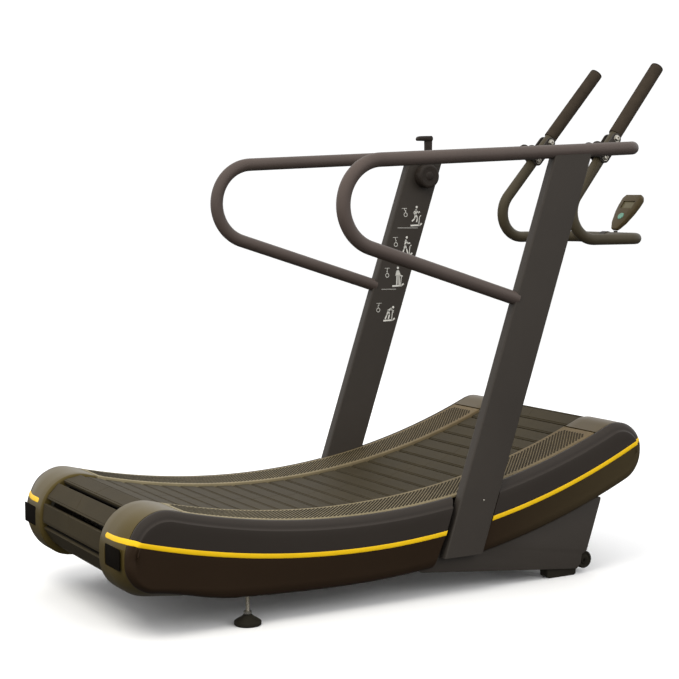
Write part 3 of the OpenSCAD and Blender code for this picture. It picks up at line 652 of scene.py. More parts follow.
def ribbon(name, rows, side):
    """A raised band. rows are (point, outward direction, point, outward direction): its two edges."""
    rings = []
    for a, na, b, nb in rows:
        a, b, na, nb = Vector(a), Vector(b), Vector(na).normalized(), Vector(nb).normalized()
        ring = [a - na * RIBBON_T]
        ring += [a.lerp(b, t) + na.lerp(nb, t) * lift for t, lift in RIBBON_CROWN]
        ring.append(b - nb * RIBBON_T)
        rings.append([(p.x, side * p.y, p.z) for p in ring])
    return make(name, *loft(rings), YELLOW, 50)


def stripe_rows(x_from, x_to, n, cut_at_slot=0):
    """Rows of the band on the side between two places; a cut end follows the upright's lean."""
    def end(up, t):
        x0, x1 = x_from, x_to
        if cut_at_slot == 1:
            x1 = x_to + (stripe_z(x_to, up) - stripe_z(x_to, 0)) * LEAN_K
        if cut_at_slot == -1:
            x0 = x_from + (stripe_z(x_from, up) - stripe_z(x_from, 0)) * LEAN_K
        x = lerp(x0, x1, t)
        return (x, COVER_Y, stripe_z(x, up)), ACROSS

    return [(*end(STRIPE_EDGES[0], i / n), *end(STRIPE_EDGES[1], i / n)) for i in range(n + 1)]


# The rim's step where the stripe crosses it, and the rounded edge under the stripe, without its valley.
TAIL_STEP = 12.4
TAIL_STRIPE_X = -943
TAIL_EDGE = TOP_EDGE[:8] + ((14.4, 383), (17.4, 385.4), (20, 387.3), (22.4, 388.6), (25, 389.6), (30, 390))
ROLL_YS = (ROLL_Y, 304, 316, 326, 335, 343, 350, 356)
TAIL_YS = (250, 250.6, 251.6, 253, 255, 258, 275, *ROLL_YS)


def tail_rows():
    """Rows from the rear cap's inner end, round the cover's edge, to the flat of the side."""
    rows = []
    z_at = {up: stripe_z(TAIL_STRIPE_X, up) for up in STRIPE_EDGES}
    for y in TAIL_YS:
        ends = []
        d, end = y - TAIL_YS[0], STRIPE_H / 2
        narrow = 0 if d >= end else end - math.sqrt(max(end ** 2 - (end - d) ** 2, 0.01))
        for up, sign in zip(STRIPE_EDGES, (-1, 1)):
            z = z_at[up] + sign * narrow
            x = REAR_C[0] - math.sqrt((CAP_R - TAIL_STEP * roll(y)) ** 2 - (z - REAR_C[1]) ** 2)
            ends.append(((x, y, z), (x - REAR_C[0], 0, z - REAR_C[1])))
        rows.append((*ends[0], *ends[1]))
    for k in range(3, len(TOP_EDGE)):
        ends = []
        d, y = TAIL_EDGE[k]
        share = k / (len(TOP_EDGE) - 1)
        for up in STRIPE_EDGES:
            z = z_at[up]
            r = CAP_R - d - faded(TAIL_STEP, d)
            # The place and its height depend on each other, so that the band stays on the cover.
            for _ in range(8):
                x = REAR_C[0] - math.sqrt(r * r - (z - REAR_C[1]) ** 2)
                z = lerp(z_at[up], stripe_z(x, up), smooth(0, 1, share))
            out = Vector((x - REAR_C[0], 0, z - REAR_C[1])).normalized()
            ends.append(((x, y, z), out.lerp(Vector(ACROSS), smooth(0, 1, share))))
        rows.append((*ends[0], *ends[1]))
    return rows


def nose_rows(x_from):
    """Rows from the flat of the side round the cover's edge at the nose."""
    rows = []
    n = 24
    end_x = {}
    for up in STRIPE_EDGES:
        x = x_from
        while side_depth(x, stripe_z(x, up)) > NOSE_STOP_DEPTH:
            x += 0.5
        end_x[up] = x
    for i in range(1, n + 1):
        ends = []
        for up in STRIPE_EDGES:
            x = lerp(x_from, end_x[up], 1 - (1 - i / n) ** 1.6)
            z = stripe_z(x, up)
            out = Vector((x - FRONT_C[0], 0, z - FRONT_C[1])).normalized()
            ends.append(((x, side_y(x, z), z), Vector(ACROSS).lerp(out, 1 - smooth(0, 24, side_depth(x, z)))))
        rows.append((*ends[0], *ends[1]))
    return rows


# The front stripe is flat up to this X, and stops at this depth inside the outline.
NOSE_STRIPE_X, NOSE_STOP_DEPTH = 612, 5
slot_rear_x = upright_rear(stripe_z(upright_rear(200), 0)) - SLOT_REAR
slot_front_x = upright_rear(stripe_z(upright_rear(240) + 128, 0)) + SLOT_FRONT
for side, hand in SIDES:
    tail = tail_rows()
    rear_rows = tail + stripe_rows(tail[-1][0][0] + 2, slot_rear_x, 120, 1)
    front_rows = stripe_rows(slot_front_x, NOSE_STRIPE_X, 60, -1) + nose_rows(NOSE_STRIPE_X)
    rear = ribbon("stripe_rear_" + hand, rear_rows, side)
    front = ribbon("stripe_front_" + hand, front_rows, side)
    settle(rear, "frame", "stripe_yellow", "stripes_" + hand)
    settle(front, "frame", "stripe_yellow")


# ---------------------------------------------------------------- end caps
NOSE_STEP, HOLE_R = 0.6, 26


def cap_mesh(side, name, rear):
    """Shell of an end cap: a run of the outline, rounded towards the slats and towards the cover."""
    upper, lower = resample(UPPER_RUN, CHAIN_N), resample(LOWER_RUN, CHAIN_N)
    if rear:
        run_up = [s for s in upper if s[0] <= CAP_X][::-1]
        run_low = [s for s in lower if s[0] <= CAP_X]
    else:
        run_up = [s for s in upper if s[0] >= NOSE_SPLIT_X]
        run_low = [s for s in lower if s[0] >= NOSE_SPLIT_X][::-1]
    run = resample(run_up + run_low[1:], 2 * (len(run_up) + 6))
    profile = [(8.5, SLOT_Y), (5.0, SLOT_Y + 0.5), (2.4, SLOT_Y + 2), (0.8, SLOT_Y + 4.4), (0, SLOT_Y + 8),
               (0, SLOT_Y + 40)]
    rings = [[(*inset_point(s, d), y) for s in run] for d, y in profile]
    for y in (*ROLL_YS, REST_Y):
        rings.append([(*inset_point(s, (rim_step(s) if rear else NOSE_STEP) * roll(y)), y) for s in run])
    n = len(run)
    verts = [(x, side * y, z) for ring in rings for x, z, y in ring]
    faces = [(k * n + i, k * n + i + 1, (k + 1) * n + i + 1, (k + 1) * n + i)
             for k in range(len(rings) - 1) for i in range(n - 1)]
    for i in range((n - 1) // 2):
        a, b, c, d = i, i + 1, n - 2 - i, n - 1 - i
        faces.append((a, b, c, d) if b != c else (a, b, d))
    return solidify(make(name, verts, faces, CAP, 40), WALL, sharp=40)


def rounded_block(name, us, vs, ws, r, n, material, edge, put):
    """A block: us and vs are the sides of its rounded outline, ws its faces, and put places each vertex."""
    outline = round_poly([(us[0], vs[0]), (us[1], vs[0]), (us[1], vs[1]), (us[0], vs[1])], r, n)
    block = plate(name, outline, *ws, material, edge)
    for v in block.data.vertices:
        v.co = put(v.co)
    block.data.flip_normals()
    return block


def along_x(co):
    return Vector((co.y, co.x, co.z))


def shrink(span, d):
    return span[0] + d, span[1] - d


def axle_hole(side, centre):
    """Cutter for the axle's hole in the inner wall of an end cap."""
    profile = [(0, 0), (HOLE_R, 0), (HOLE_R, 30), (0, 30)]
    return turned("hole", profile, (centre[0], side * SLOT_Y - 15, centre[1]), ACROSS, CAP)


def once(side, node):
    """A node that the pieces of both sides replace together is named by the left one."""
    return [node] if side > 0 else []


PAD_Y, PAD_Z, TAIL_X = (258, 352), (183, 238), REAR_C[0] - CAP_R
for side, hand in SIDES:
    cap = cap_mesh(side, "rear_cap_shell_" + hand, True)
    ys = span_y(side, *PAD_Y)
    pocket = rounded_block("pocket", ys, PAD_Z, (TAIL_X - 5, TAIL_X + 3.2), 6, 4, CAP, 0.2, along_x)
    cut(cap, [pocket, axle_hole(side, REAR_C)], 40)
    settle(cap, "frame", "cap_shell", "rear_cap_" + hand)
    pad = rounded_block("rear_pad_" + hand, shrink(ys, 0.4), shrink(PAD_Z, 0.4), (TAIL_X + 1.4, TAIL_X + 3.9),
                        5.6, 4, BUMPER, 0.8, along_x)
    settle(pad, "frame", "black_rubber", *once(side, "rear_bumpers"))
    nose = cap_mesh(side, "nose_cap_shell_" + hand, False)
    cut(nose, [axle_hole(side, FRONT_C)], 40)
    settle(nose, "frame", "cap_shell", "nose_cap_" + hand)

# ---------------------------------------------------------------- footrests
SHEET_T, HEM, HEM_T, SHEET_N = 6, 18, 4, 150
BUMP_PITCH, BUMP_HALF, BUMP_H = 12.0, 4.5, 1.0
FOOTREST_Y = 359


def under_deck(x, r):
    return DECK_C[1] - math.sqrt((DECK_R + r) ** 2 - (x - DECK_C[0]) ** 2)


def footrest(side, hand):
    a0 = heading(DECK_C, (CAP_X + 0.5, under_deck(CAP_X + 0.5, 0)))
    a1 = heading(DECK_C, (NOSE_SPLIT_X - 1, under_deck(NOSE_SPLIT_X - 1, 0)))
    r_top = DECK_R - LIP
    inner = [(0, SHEET_T + HEM), (0, 3), (0.5, 1.2), (2, 0.2), (4, 0), (9, 0), (9.6, 0.6), (10.4, 0.6),
             (11, 0.2)]
    outer = [(-11, 0.2), (-10.4, 0.6), (-9.6, 0.6), (-9, 0), (-3, 0), (-1, 0.6), (0, 2.4), (0, SHEET_T)]
    hem = [(HEM_T, SHEET_T), (HEM_T, SHEET_T + HEM)]
    runs = ((SLOT_Y, inner), (FOOTREST_Y, outer), (SLOT_Y, hem))
    section = [(from_y + y, r_top + d) for from_y, run in runs for y, d in run]

    def place(a, y, r):
        return (DECK_C[0] + r * math.cos(a), side * y, DECK_C[1] + r * math.sin(a))

    angles = [rad(lerp(a0, a1, i / SHEET_N)) for i in range(SHEET_N + 1)]
    verts, faces = loft([[place(a, y, r) for y, r in section] for a in angles])
    # Diamond bumps, in staggered rows that stop short of the edges, with rounded corners at both ends.
    length = rad(a1 - a0) * r_top
    y_lo, y_hi = SLOT_Y + 13, FOOTREST_Y - 13
    s_lo, s_hi, corner = 12, length - 14, 30
    row = 0
    y = y_lo + BUMP_HALF
    while y < y_hi - BUMP_HALF + 0.01:
        s = s_lo + BUMP_HALF + (BUMP_PITCH / 2 if row % 2 else 0)
        while s < s_hi - BUMP_HALF:
            cs = min(max(s, s_lo + corner), s_hi - corner)
            cy = min(max(y, y_lo + corner), y_hi - corner)
            if math.hypot(s - cs, y - cy) <= corner:
                base = len(verts)
                for size, up in ((BUMP_HALF, -0.6), (BUMP_HALF, 0.05), (BUMP_HALF * 0.55, BUMP_H)):
                    for ds, dy in ((size, 0), (0, size), (-size, 0), (0, -size)):
                        verts.append(place(rad(a0) + (s + ds) / r_top, y + dy, r_top + 0.2 - up))
                for k in (base, base + 4):
                    for i in range(4):
                        j = (i + 1) % 4
                        faces.append((k + i, k + j, k + 4 + j, k + 4 + i))
                faces.append((base, base + 1, base + 2, base + 3))
                faces.append((base + 8, base + 9, base + 10, base + 11))
            s += BUMP_PITCH
        y += BUMP_PITCH / 2
        row += 1
    obj = make("footrest_sheet_" + hand, verts, faces, RUBBER, 25)
    # The studs are darker than the sheet they stand on.
    obj.data.materials.append(RUBBER_LOW)
    for p in obj.data.polygons:
        if p.area < 70 * MM ** 2 and len(p.vertices) == 4 and abs(p.center.y / MM) < FOOTREST_Y - 10:
            x, y, z = p.center / MM
            if math.hypot(x - DECK_C[0], z - DECK_C[1]) < r_top + 0.18 and SLOT_Y + 12 < side * y:
                p.material_index = 1
    settle(obj, "frame", "footrest_rubber", "footrest_" + hand)


for side, hand in SIDES:
    footrest(side, hand)

# ---------------------------------------------------------------- slats
RETURN_R = 3000
ra, rb = RETURN_R - REAR_R, RETURN_R - FRONT_R
axle_gap = math.hypot(FRONT_C[0] - REAR_C[0], FRONT_C[1] - REAR_C[1])
axle_dir = ((FRONT_C[0] - REAR_C[0]) / axle_gap, (FRONT_C[1] - REAR_C[1]) / axle_gap)
foot_h = (ra * ra - rb * rb + axle_gap ** 2) / (2 * axle_gap)
side_h = math.sqrt(ra * ra - foot_h * foot_h)
RETURN_C = (REAR_C[0] + foot_h * axle_dir[0] - side_h * axle_dir[1],
            REAR_C[1] + foot_h * axle_dir[1] + side_h * axle_dir[0])
A_LOW_FRONT, A_LOW_REAR = heading(RETURN_C, FRONT_C), heading(RETURN_C, REAR_C)
BELT = [(DECK_C, DECK_R + SLAT_T, A_REAR, A_FRONT, -1),
        (FRONT_C, FRONT_R - SLAT_T, A_FRONT + 180, A_LOW_FRONT, 1),
        (RETURN_C, RETURN_R - SLAT_T, A_LOW_FRONT, A_LOW_REAR, 1),
        (REAR_C, REAR_R - SLAT_T, A_LOW_REAR, A_REAR - 180, 1)]
BELT_LEN = sum(r * rad(abs(a1 - a0)) for _, r, a0, a1, _ in BELT)
SLAT_N = round(BELT_LEN / SLAT_PITCH_GOAL)
PITCH = BELT_LEN / SLAT_N


def slat_place(s):
    """Place along the belt: a point on the slats' underside, the belt's direction and outward."""
    for c, r, a0, a1, sign in BELT:
        run = r * rad(abs(a1 - a0))
        if s <= run:
            a = rad(lerp(a0, a1, s / run))
            out = Vector((sign * math.cos(a), sign * math.sin(a)))
            along = Vector((out.y, -out.x))
            return Vector((c[0] + r * math.cos(a), c[1] + r * math.sin(a))), along, out
        s -= run
    return slat_place(s)


def slat_verts():
    h = (PITCH - SLAT_GAP) / 2
    section = [(-h, CARRIER_T), (-h, 11.4), (-h + 0.7, 12.3), (-h + 5.0, 12.5), (-h + 5.4, 13.5),
               (-h + 6.4, 14.0), (h - 1.6, 14.0), (h - 0.5, 13.5), (h, 12.4), (h, CARRIER_T)]
    half = SLAT_W / 2
    stations = [(-half, 1.2, 0), (-half + 0.6, 0.35, 0), (-half + 1.6, 0, 0), (-1.3, 0, 1), (-0.5, 0.45, 1),
                (0.5, 0.45, 1), (1.3, 0, 1), (half - 1.6, 0, 0), (half - 0.6, 0.35, 0), (half, 1.2, 0)]
    verts, faces = [], []
    for i in range(SLAT_N):
        p, along, out = slat_place((i + 0.35) * PITCH)
        rings = []
        drift = 9 * math.sin(i * 1.7)
        for y, sink, seam in stations:
            ring = []
            for u, v in section:
                v_here = v - sink if v > CARRIER_T + 0.1 else v
                q = p + along * u + out * v_here
                ring.append((q.x, y + seam * (0.45 * u + drift), q.y))
            rings.append(ring)
        v, f = loft(rings)
        faces += [tuple(len(verts) + k for k in face) for face in f]
        verts += v
    return verts, faces


slats = make("slat_treads", *slat_verts(), TREAD, 9)
settle(slats, "frame", "tread_rubber", "slat_pads")

# ---------------------------------------------------------------- uprights
SCREW_Z = 262


def upright(side, hand):
    w, t = UPRIGHT_W, UPRIGHT_T
    section = round_poly([(0, -t / 2), (w, -t / 2), (w, t / 2), (0, t / 2)], 5.5, 6)
    rings = []
    for level in range(13):
        ring = []
        for dx, dy in section:
            top_x = upright_rear(rail_at(UPRIGHT_X)) + dx
            z_top = rail_at(top_x) - 8
            z = lerp(UPRIGHT_BASE_Z, z_top, level / 12)
            ring.append((upright_rear(z) + dx, side * (UPRIGHT_MID_Y + dy), z))
        rings.append(ring)
    shell = solidify(make("upright_tube_" + hand, *loft(rings, ends=False), POWDER, 40), 3, sharp=40)
    settle(shell, "frame", "powder_coat", "upright_" + hand)
    at = (upright_rear(SCREW_Z) + 78, side * (UPRIGHT_MID_Y + t / 2 - 0.2), SCREW_Z)
    settle(bolt("upright_screw_" + hand, at, (0, side, 0), 2.2, 1.6, ZINC), "frame", "zinc_steel")


for side, hand in SIDES:
    upright(side, hand)

# ---------------------------------------------------------------- handrails
LOWER_END_Z = 842
loop_z = rail_at(LOOP_X) - LOOP_R / math.cos(rad(RAIL_SLOPE))
lower_start = polar((LOOP_X, loop_z), LOOP_R, -90 - LOW_SLOPE)
low_cos, low_sin = math.cos(rad(LOW_SLOPE)), math.sin(rad(LOW_SLOPE))
lower_len = (upright_rear(LOWER_END_Z) + 2 - lower_start[0]) / low_cos
lower_end = (lower_start[0] + lower_len * low_cos, lower_start[1] - lower_len * low_sin)
upper_end = (RAIL_X - CORNER_R * math.cos(rad(RAIL_SLOPE)), RAIL_Z - CORNER_R * math.sin(rad(RAIL_SLOPE)))


def straight(a, b, step=60):
    n = max(1, int(math.dist(a, b) / step))
    return [tuple(lerp(p, q, i / n) for p, q in zip(a, b)) for i in range(n + 1)]


def rail_path(side):
    y = side * UPRIGHT_MID_Y
    flat = straight(lower_end, lower_start)
    flat += arc_points((LOOP_X, loop_z), LOOP_R, -90 - LOW_SLOPE, -270 + RAIL_SLOPE, 44)[1:]
    flat += straight(flat[-1], upper_end)[1:]
    path = [(x, y, z) for x, z in flat]
    slope = rad(RAIL_SLOPE)
    for i in range(1, 19):
        a = rad(90 * i / 18)
        ahead = CORNER_R * math.sin(a)
        path.append((upper_end[0] + ahead * math.cos(slope), y - side * CORNER_R * (1 - math.cos(a)),
                     upper_end[1] + ahead * math.sin(slope)))
    return path


left, right = rail_path(1), rail_path(-1)
middle = straight(left[-1], right[-1], 80)[1:-1]
rails = tube("handrail_tube", left + middle + right[::-1], RAIL_R, TUBE, 40)
settle(rails, "frame", "powder_coat", "handrail_left", "handrail_right", "handrail_cross_tube")

# ---------------------------------------------------------------- handlebar
ARM_DIR = (math.cos(rad(ARM_RISE)), math.sin(rad(ARM_RISE)))
BEND_C = (BEND_X, BAR_BEND)
ARM_START = polar(BEND_C, BAR_BEND, 90 + ARM_RISE)


def arm_point(s, side, off=0.0, up=0.0):
    """A point at a distance along the arm, off its plane by off and across it by up."""
    x = ARM_START[0] + ARM_DIR[0] * s - ARM_DIR[1] * up
    z = ARM_START[1] + ARM_DIR[1] * s + ARM_DIR[0] * up
    return on_arm(x, off, z, side)


def on_arm(x, y, z, side):
    c, s = math.cos(rad(ARM_LEAN)), math.sin(rad(ARM_LEAN))
    return (x, side * (BAR_Y + y * c - z * s), BAR_Z + y * s + z * c)


def arm_path(side):
    reach = ARM_L - 4
    flat = straight((ARM_START[0] + ARM_DIR[0] * reach, ARM_START[1] + ARM_DIR[1] * reach), ARM_START)
    flat += arc_points(BEND_C, BAR_BEND, 90 + ARM_RISE, 270, 30)[1:]
    flat += straight(flat[-1], (BAR_X - BAR_CORNER_R, 0))[1:]
    path = [on_arm(x, 0, z, side) for x, z in flat]
    for i in range(1, 15):
        a = rad(90 * i / 14)
        path.append((BAR_X - BAR_CORNER_R + BAR_CORNER_R * math.sin(a),
                     side * (BAR_Y - BAR_CORNER_R * (1 - math.cos(a))), BAR_Z))
    return path


left, right = arm_path(1), arm_path(-1)
middle = straight(left[-1], right[-1])[1:-1]
bar = tube("handlebar_tube", left + middle + right[::-1], BAR_R, BAR_PAINT, 36)
settle(bar, "frame", "powder_coat", "handlebar_arm_left", "handlebar_arm_right", "handlebar_cross_bar")

for side, hand in SIDES:
    foot = Vector(arm_point(ARM_L - GRIP_L, side))
    top = Vector(arm_point(ARM_L, side))
    axis = (top - foot).normalized()
    length = (top - foot).length
    wall = BAR_R + 0.05
    profile = [(wall, 0.4), (GRIP_R - 1.4, 0), (GRIP_R - 0.4, 0.5), (GRIP_R, 1.8)]
    for k in range(1, 32):
        h = 1.8 + (length - 8) * k / 32
        profile.append((GRIP_R + 0.12 * math.sin(k * 2.3), h))
    profile += [(GRIP_R, length - 5.5), (GRIP_R - 0.6, length - 4.4), (wall, length - 4.3)]
    sleeve = turned("grip_sleeve_" + hand, profile, foot, axis, FOAM, 44, 40)
    settle(sleeve, "frame", "grip_foam", "grip_" + hand)
    cap_profile = [(0, -4.2), (GRIP_R - 1, -4.2), (GRIP_R - 0.2, -3.8), (GRIP_R - 0.2, -1.8),
                   (GRIP_R - 0.9, -0.7), (GRIP_R - 2.4, 0), (GRIP_R - 6, 0.15), (6, 0.2), (5.4, -0.5),
                   (0, -0.5)]
    end = turned("grip_cap_" + hand, cap_profile, top, axis, NYLON, 44, 30)
    settle(end, "frame", "nylon_black", *once(side, "grip_end_caps"))


# Clamp plates, one each side of each arm, with a lobe round the handrail's cross tube.
PLATE_R, PLATE_T = 17, 4
tube_flat = (RAIL_X - ARM_START[0], (RAIL_Z - BAR_Z) / math.cos(rad(ARM_LEAN)) - ARM_START[1])
lobe_at = (tube_flat[0] * ARM_DIR[0] + tube_flat[1] * ARM_DIR[1],
           tube_flat[1] * ARM_DIR[0] - tube_flat[0] * ARM_DIR[1])


def clamp_part(outline, side, off):
    mid = Vector((sum(p[0] for p in outline), sum(p[1] for p in outline))) / len(outline)
    rings = []
    for y, d in ((0, 0.8), (0.3, 0.2), (1, 0), (PLATE_T - 1, 0), (PLATE_T - 0.3, 0.2), (PLATE_T, 0.8)):
        ring = []
        for p in outline:
            q = Vector(p)
            q += (mid - q).normalized() * d
            ring.append(arm_point(q.x, side, off + y, q.y))
        rings.append(ring)
    return make("clamp_part", *loft(rings), POWDER)


lozenge = (arc_points((CLAMP_S - CLAMP_BOLT_S, 0), PLATE_R, 90, 270, 14)
           + arc_points((CLAMP_S + CLAMP_BOLT_S, 0), PLATE_R, -90, 90, 14))
lobe = arc_points(lobe_at, RAIL_R + 5, 0, 345, 23)
neck = [(lobe_at[0] + x, z) for x, z in ((-14, 0), (14, 0), (18, lobe_at[1]), (-18, lobe_at[1]))]
pieces = [clamp_part(shape, side, off) for side, hand in SIDES for off in (-CLAMP_HALF - PLATE_T, CLAMP_HALF)
          for shape in (lozenge, lobe, neck)]
clamps = joined("clamp_plates", pieces)
settle(clamps, "frame", "powder_coat", "handlebar_clamps")

heads = []
for side, hand in SIDES:
    for s in (CLAMP_S - CLAMP_BOLT_S, CLAMP_S + CLAMP_BOLT_S):
        inner, outer = Vector(arm_point(s, side, -CLAMP_HALF - 4)), Vector(arm_point(s, side, CLAMP_HALF + 4))
        axis, length = (outer - inner).normalized(), (outer - inner).length
        heads += [bolt("head", outer, axis, 8.5, 7.5, ZINC), bolt("head", inner, -axis, 8.5, 7.5, ZINC)]
        shank = [(0, 0.5), (4.9, 0.5), (4.9, length - 0.5), (0, length - 0.5)]
        heads.append(turned("shank", shank, inner, axis, ZINC, 24))
settle(joined("clamp_bolt_heads", heads), "frame", "zinc_steel", "clamp_bolts")

# ---------------------------------------------------------------- console
CONSOLE = (Matrix.Translation((CONSOLE_AT[0], 0, CONSOLE_AT[1])) @ Matrix.Rotation(rad(-90), 4, "Z")
           @ Matrix.Rotation(rad(CONSOLE_TILT), 4, "X"))
BUTTON_AT = (0, 50, 0)
FACE_OUT = (CONSOLE.to_3x3() @ Vector(UP)).normalized()


def on_console(p):
    return tuple(CONSOLE @ Vector(p))


case_outline = round_poly([(-12, 0), (12, 0), (28, 26), (41, 70), (44, 98), (44, 124), (35, CONSOLE_L),
                           (-35, CONSOLE_L), (-44, 124), (-44, 98), (-41, 70), (-28, 26)],
                          [9, 9, 40, 60, 30, 6, 4, 4, 6, 30, 60, 40], 6)


def shrunk(outline, k):
    """The face's outline, drawn in towards its middle."""
    return [(x * k, 72 + (y - 72) * k) for x, y in outline]


def depth_at(y):
    return lerp(CONSOLE_FOOT_T, CONSOLE_T, clamp01(y / CONSOLE_L))


# Share of the size, and share of the depth, from the middle of the face round to the middle of the back.
layers = [(0.3, 0), (0.95, 0), (0.97, 0.02), (0.985, 0.07), (1.0, 0.16), (1.0, 0.4), (0.99, 0.42),
          (0.99, 0.45), (1.0, 0.47), (0.995, 0.62), (0.97, 0.8), (0.92, 0.92), (0.84, 0.99), (0.3, 1)]
rings = [[on_console((x, y, -share * depth_at(y))) for x, y in shrunk(case_outline, k)]
         for k, share in layers]
case = make("console_body", *loft(rings), CASE, 40)


def into_face(co):
    x, z, y = co / MM
    return Vector(on_console((x, y, z))) * MM


window = rounded_block("window", (-27, 27), (82, 110), (-4.6, 4), 2, 5, CASE, 0.1, into_face)
# A little deeper than the pressed button reaches, so that the two do not meet.
well = turned("well", [(0, -6.6), (12.4, -6.6), (12.4, 4), (0, 4)], on_console(BUTTON_AT), FACE_OUT, CASE, 40)
cut(case, [window, well], 40)
settle(case, "frame", "console_plastic", "console_case")
screen = rounded_block("console_glass", (-26.7, 26.7), (82.3, 109.7), (-4.5, -3.6), 1.8, 5, LENS, 0.2,
                       into_face)
settle(screen, "frame", "screen_lens", "console_screen")
button_profile = [(0, -4.5), (11.6, -4.5), (11.9, -4.1), (11.9, 0.6), (11.4, 1.5), (10.2, 2.0), (8.4, 1.9),
                  (5, 1.55), (0, 1.4)]
button = turned("start_button", button_profile, on_console(BUTTON_AT), FACE_OUT, TEAL, 48, 30)
settle(button, "console_button", "button_teal", "console_button")

collar_profile = [(BAR_R + 0.05, -13), (BAR_R + 1.9, -13), (BAR_R + 2.5, -12.2), (BAR_R + 2.5, 12.2),
                  (BAR_R + 1.9, 13), (BAR_R + 0.05, 13)]
collar = turned("collar", collar_profile, (BAR_X, 0, BAR_Z), ACROSS, NYLON, 40)
POST_X, POST_R = CONSOLE_AT[0] + 10, 7
lug_x = BAR_X + 14
lug_shape = round_poly([(x, BAR_Z + z) for x, z in ((lug_x, -7), (POST_X, -7), (POST_X, 7), (lug_x, 7))], 1)
lug = plate("lug", lug_shape, -POST_R + 0.5, POST_R - 0.5, NYLON, 0.8)
post_profile = [(0, -7), (POST_R - 1, -7), (POST_R, -6), (POST_R, 8), (POST_R - 0.6, 10), (POST_R - 0.6, 20),
                (0, 20)]
post = turned("post", post_profile, (POST_X, 0, BAR_Z), UP, NYLON, 32)
settle(joined("console_mount", [collar, lug, post]), "frame", "nylon_black", "console_stem")

# ---------------------------------------------------------------- resistance selector
HUB_Y = 360
hub_back = HUB_Y - 12.3
ring_profile = [(9, -12), (31, -12), (33.2, -11.2), (34, -9.5), (34, 0), (9, 0)]
base = turned("selector_ring", ring_profile, (SELECTOR_C[0], HUB_Y, SELECTOR_C[1]), ACROSS, NYLON, 56)
settle(base, "frame", "nylon_black", "selector_base")
hub_profile = [(0, -28), (12, -28), (13, -27.4), (14, -26.6), (26, -26.6), (30, -27.2), (34.4, -26.4),
               (37, -24.2), (38, -21), (38, -5), (37.4, -1.4), (35.6, 0), (8, 0), (8, 11), (0, 11)]
hub = turned("hub", hub_profile, (SELECTOR_C[0], hub_back, SELECTOR_C[1]), ACROSS, NYLON, 64)
arm_outline = round_poly([(-11, 6), (11, 6), (13, 118), (-13, 118)], 4)
grip_outline = round_poly([(-43, 113), (-40, 111.5), (10, 111.5), (14, 115), (14, 123), (10, 128.4),
                           (-30, 127), (-40, 125), (-44, 119)], 3.2)


def selector_plate(name, outline, back, front, edge):
    """A plate of the lever: its outline is from the hub's centre, its faces from the hub's back."""
    at = [(SELECTOR_C[0] + x, SELECTOR_C[1] + z) for x, z in outline]
    return plate(name, at, hub_back - back, hub_back - front, NYLON, edge)


arm = selector_plate("arm", arm_outline, 22, 10, 2.2)
handle = selector_plate("handle", grip_outline, 26, 7, 4)
settle(joined("selector_handle", [hub, arm, handle]), "selector_lever", "nylon_black", "selector_lever")

# ---------------------------------------------------------------- legs, feet and wheels
leg_shape = round_poly([(-110, 76), (318, 32), (453, 19), (466, 34), (470, 60), (488, 69), (541, 226),
                        (430, 202), (170, 150), (140, 232), (-20, 232), (-30, 130)],
                       [10, 4, 6, 6, 5, 8, 8, 30, 40, 8, 8, 30], 5)
block_shape = round_poly([(346, 40), (350, 6), (358, 0), (448, 0), (454, 6), (454, 40)], 3)
BLOCK_W, WHEEL_Y, FOOT_Y = 36, 333, 345
half_tyre = [(5.05, -12), (11, -12), (12, -11), (14.5, -8.5), (19, -8.5), (20.5, -11), (22, -12),
             (24.4, -11.4), (25.6, -9.4), (26, -7)]
tyre = half_tyre + [(r, -h) for r, h in reversed(half_tyre)]
pad = [(0, 0), (31, 0), (34, 0.7), (35.5, 2.6), (35.5, 9), (34.8, 10.6), (32.5, 12.6), (29, 15), (20, 20.5),
       (14, 24.6), (12, 27), (0, 27)]
thread = [(0, 26)]
z = 27.0
while z < 115:
    thread += [(5.95, z), (5.3, z + 0.75), (5.3, z + 0.85), (5.95, z + 1.6)]
    z += 1.75
thread += [(4.6, 116.6), (0, 117)]
nut_profile = [(5.95, 29), (10.0, 29), (11, 29.7), (11, 36.3), (10.0, 37), (5.95, 37)]
for side, hand in SIDES:
    leg = plate("leg_plate_" + hand, leg_shape, *span_y(side, LEG_Y, LEG_Y + LEG_T), POWDER, 1.2)
    settle(leg, "frame", "powder_coat", "leg_" + hand)
    ys = span_y(side, LEG_Y - BLOCK_W, LEG_Y)
    block = plate("foot_block_" + hand, block_shape, ys[0] + 0.1, ys[1] - 0.1, BLACK, 2)
    settle(block, "frame", "black_rubber", *once(side, "foot_blocks"))
    wheel = turned("wheel_" + hand, tyre, (WHEEL_C[0], side * WHEEL_Y, WHEEL_C[1]), ACROSS, BLACK, 56, 30)
    settle(wheel, "transport_wheel_" + hand, "black_rubber", "transport_wheel_" + hand)

    seat = (FOOT_X, side * FOOT_Y, 0)
    foot = turned("foot_pad", pad, seat, UP, BLACK, 56, 30)
    settle(foot, "levelling_foot_" + hand, "black_rubber", "levelling_foot_" + hand)
    foot.name = "foot_pad_" + hand
    stem = turned("foot_stem_" + hand, thread, seat, UP, ZINC, 28, 30)
    nut = turned("nut", nut_profile, seat, UP, ZINC, 6, 20)
    settle(joined("foot_thread_" + hand, [stem, nut]), "levelling_foot_" + hand, "zinc_steel")


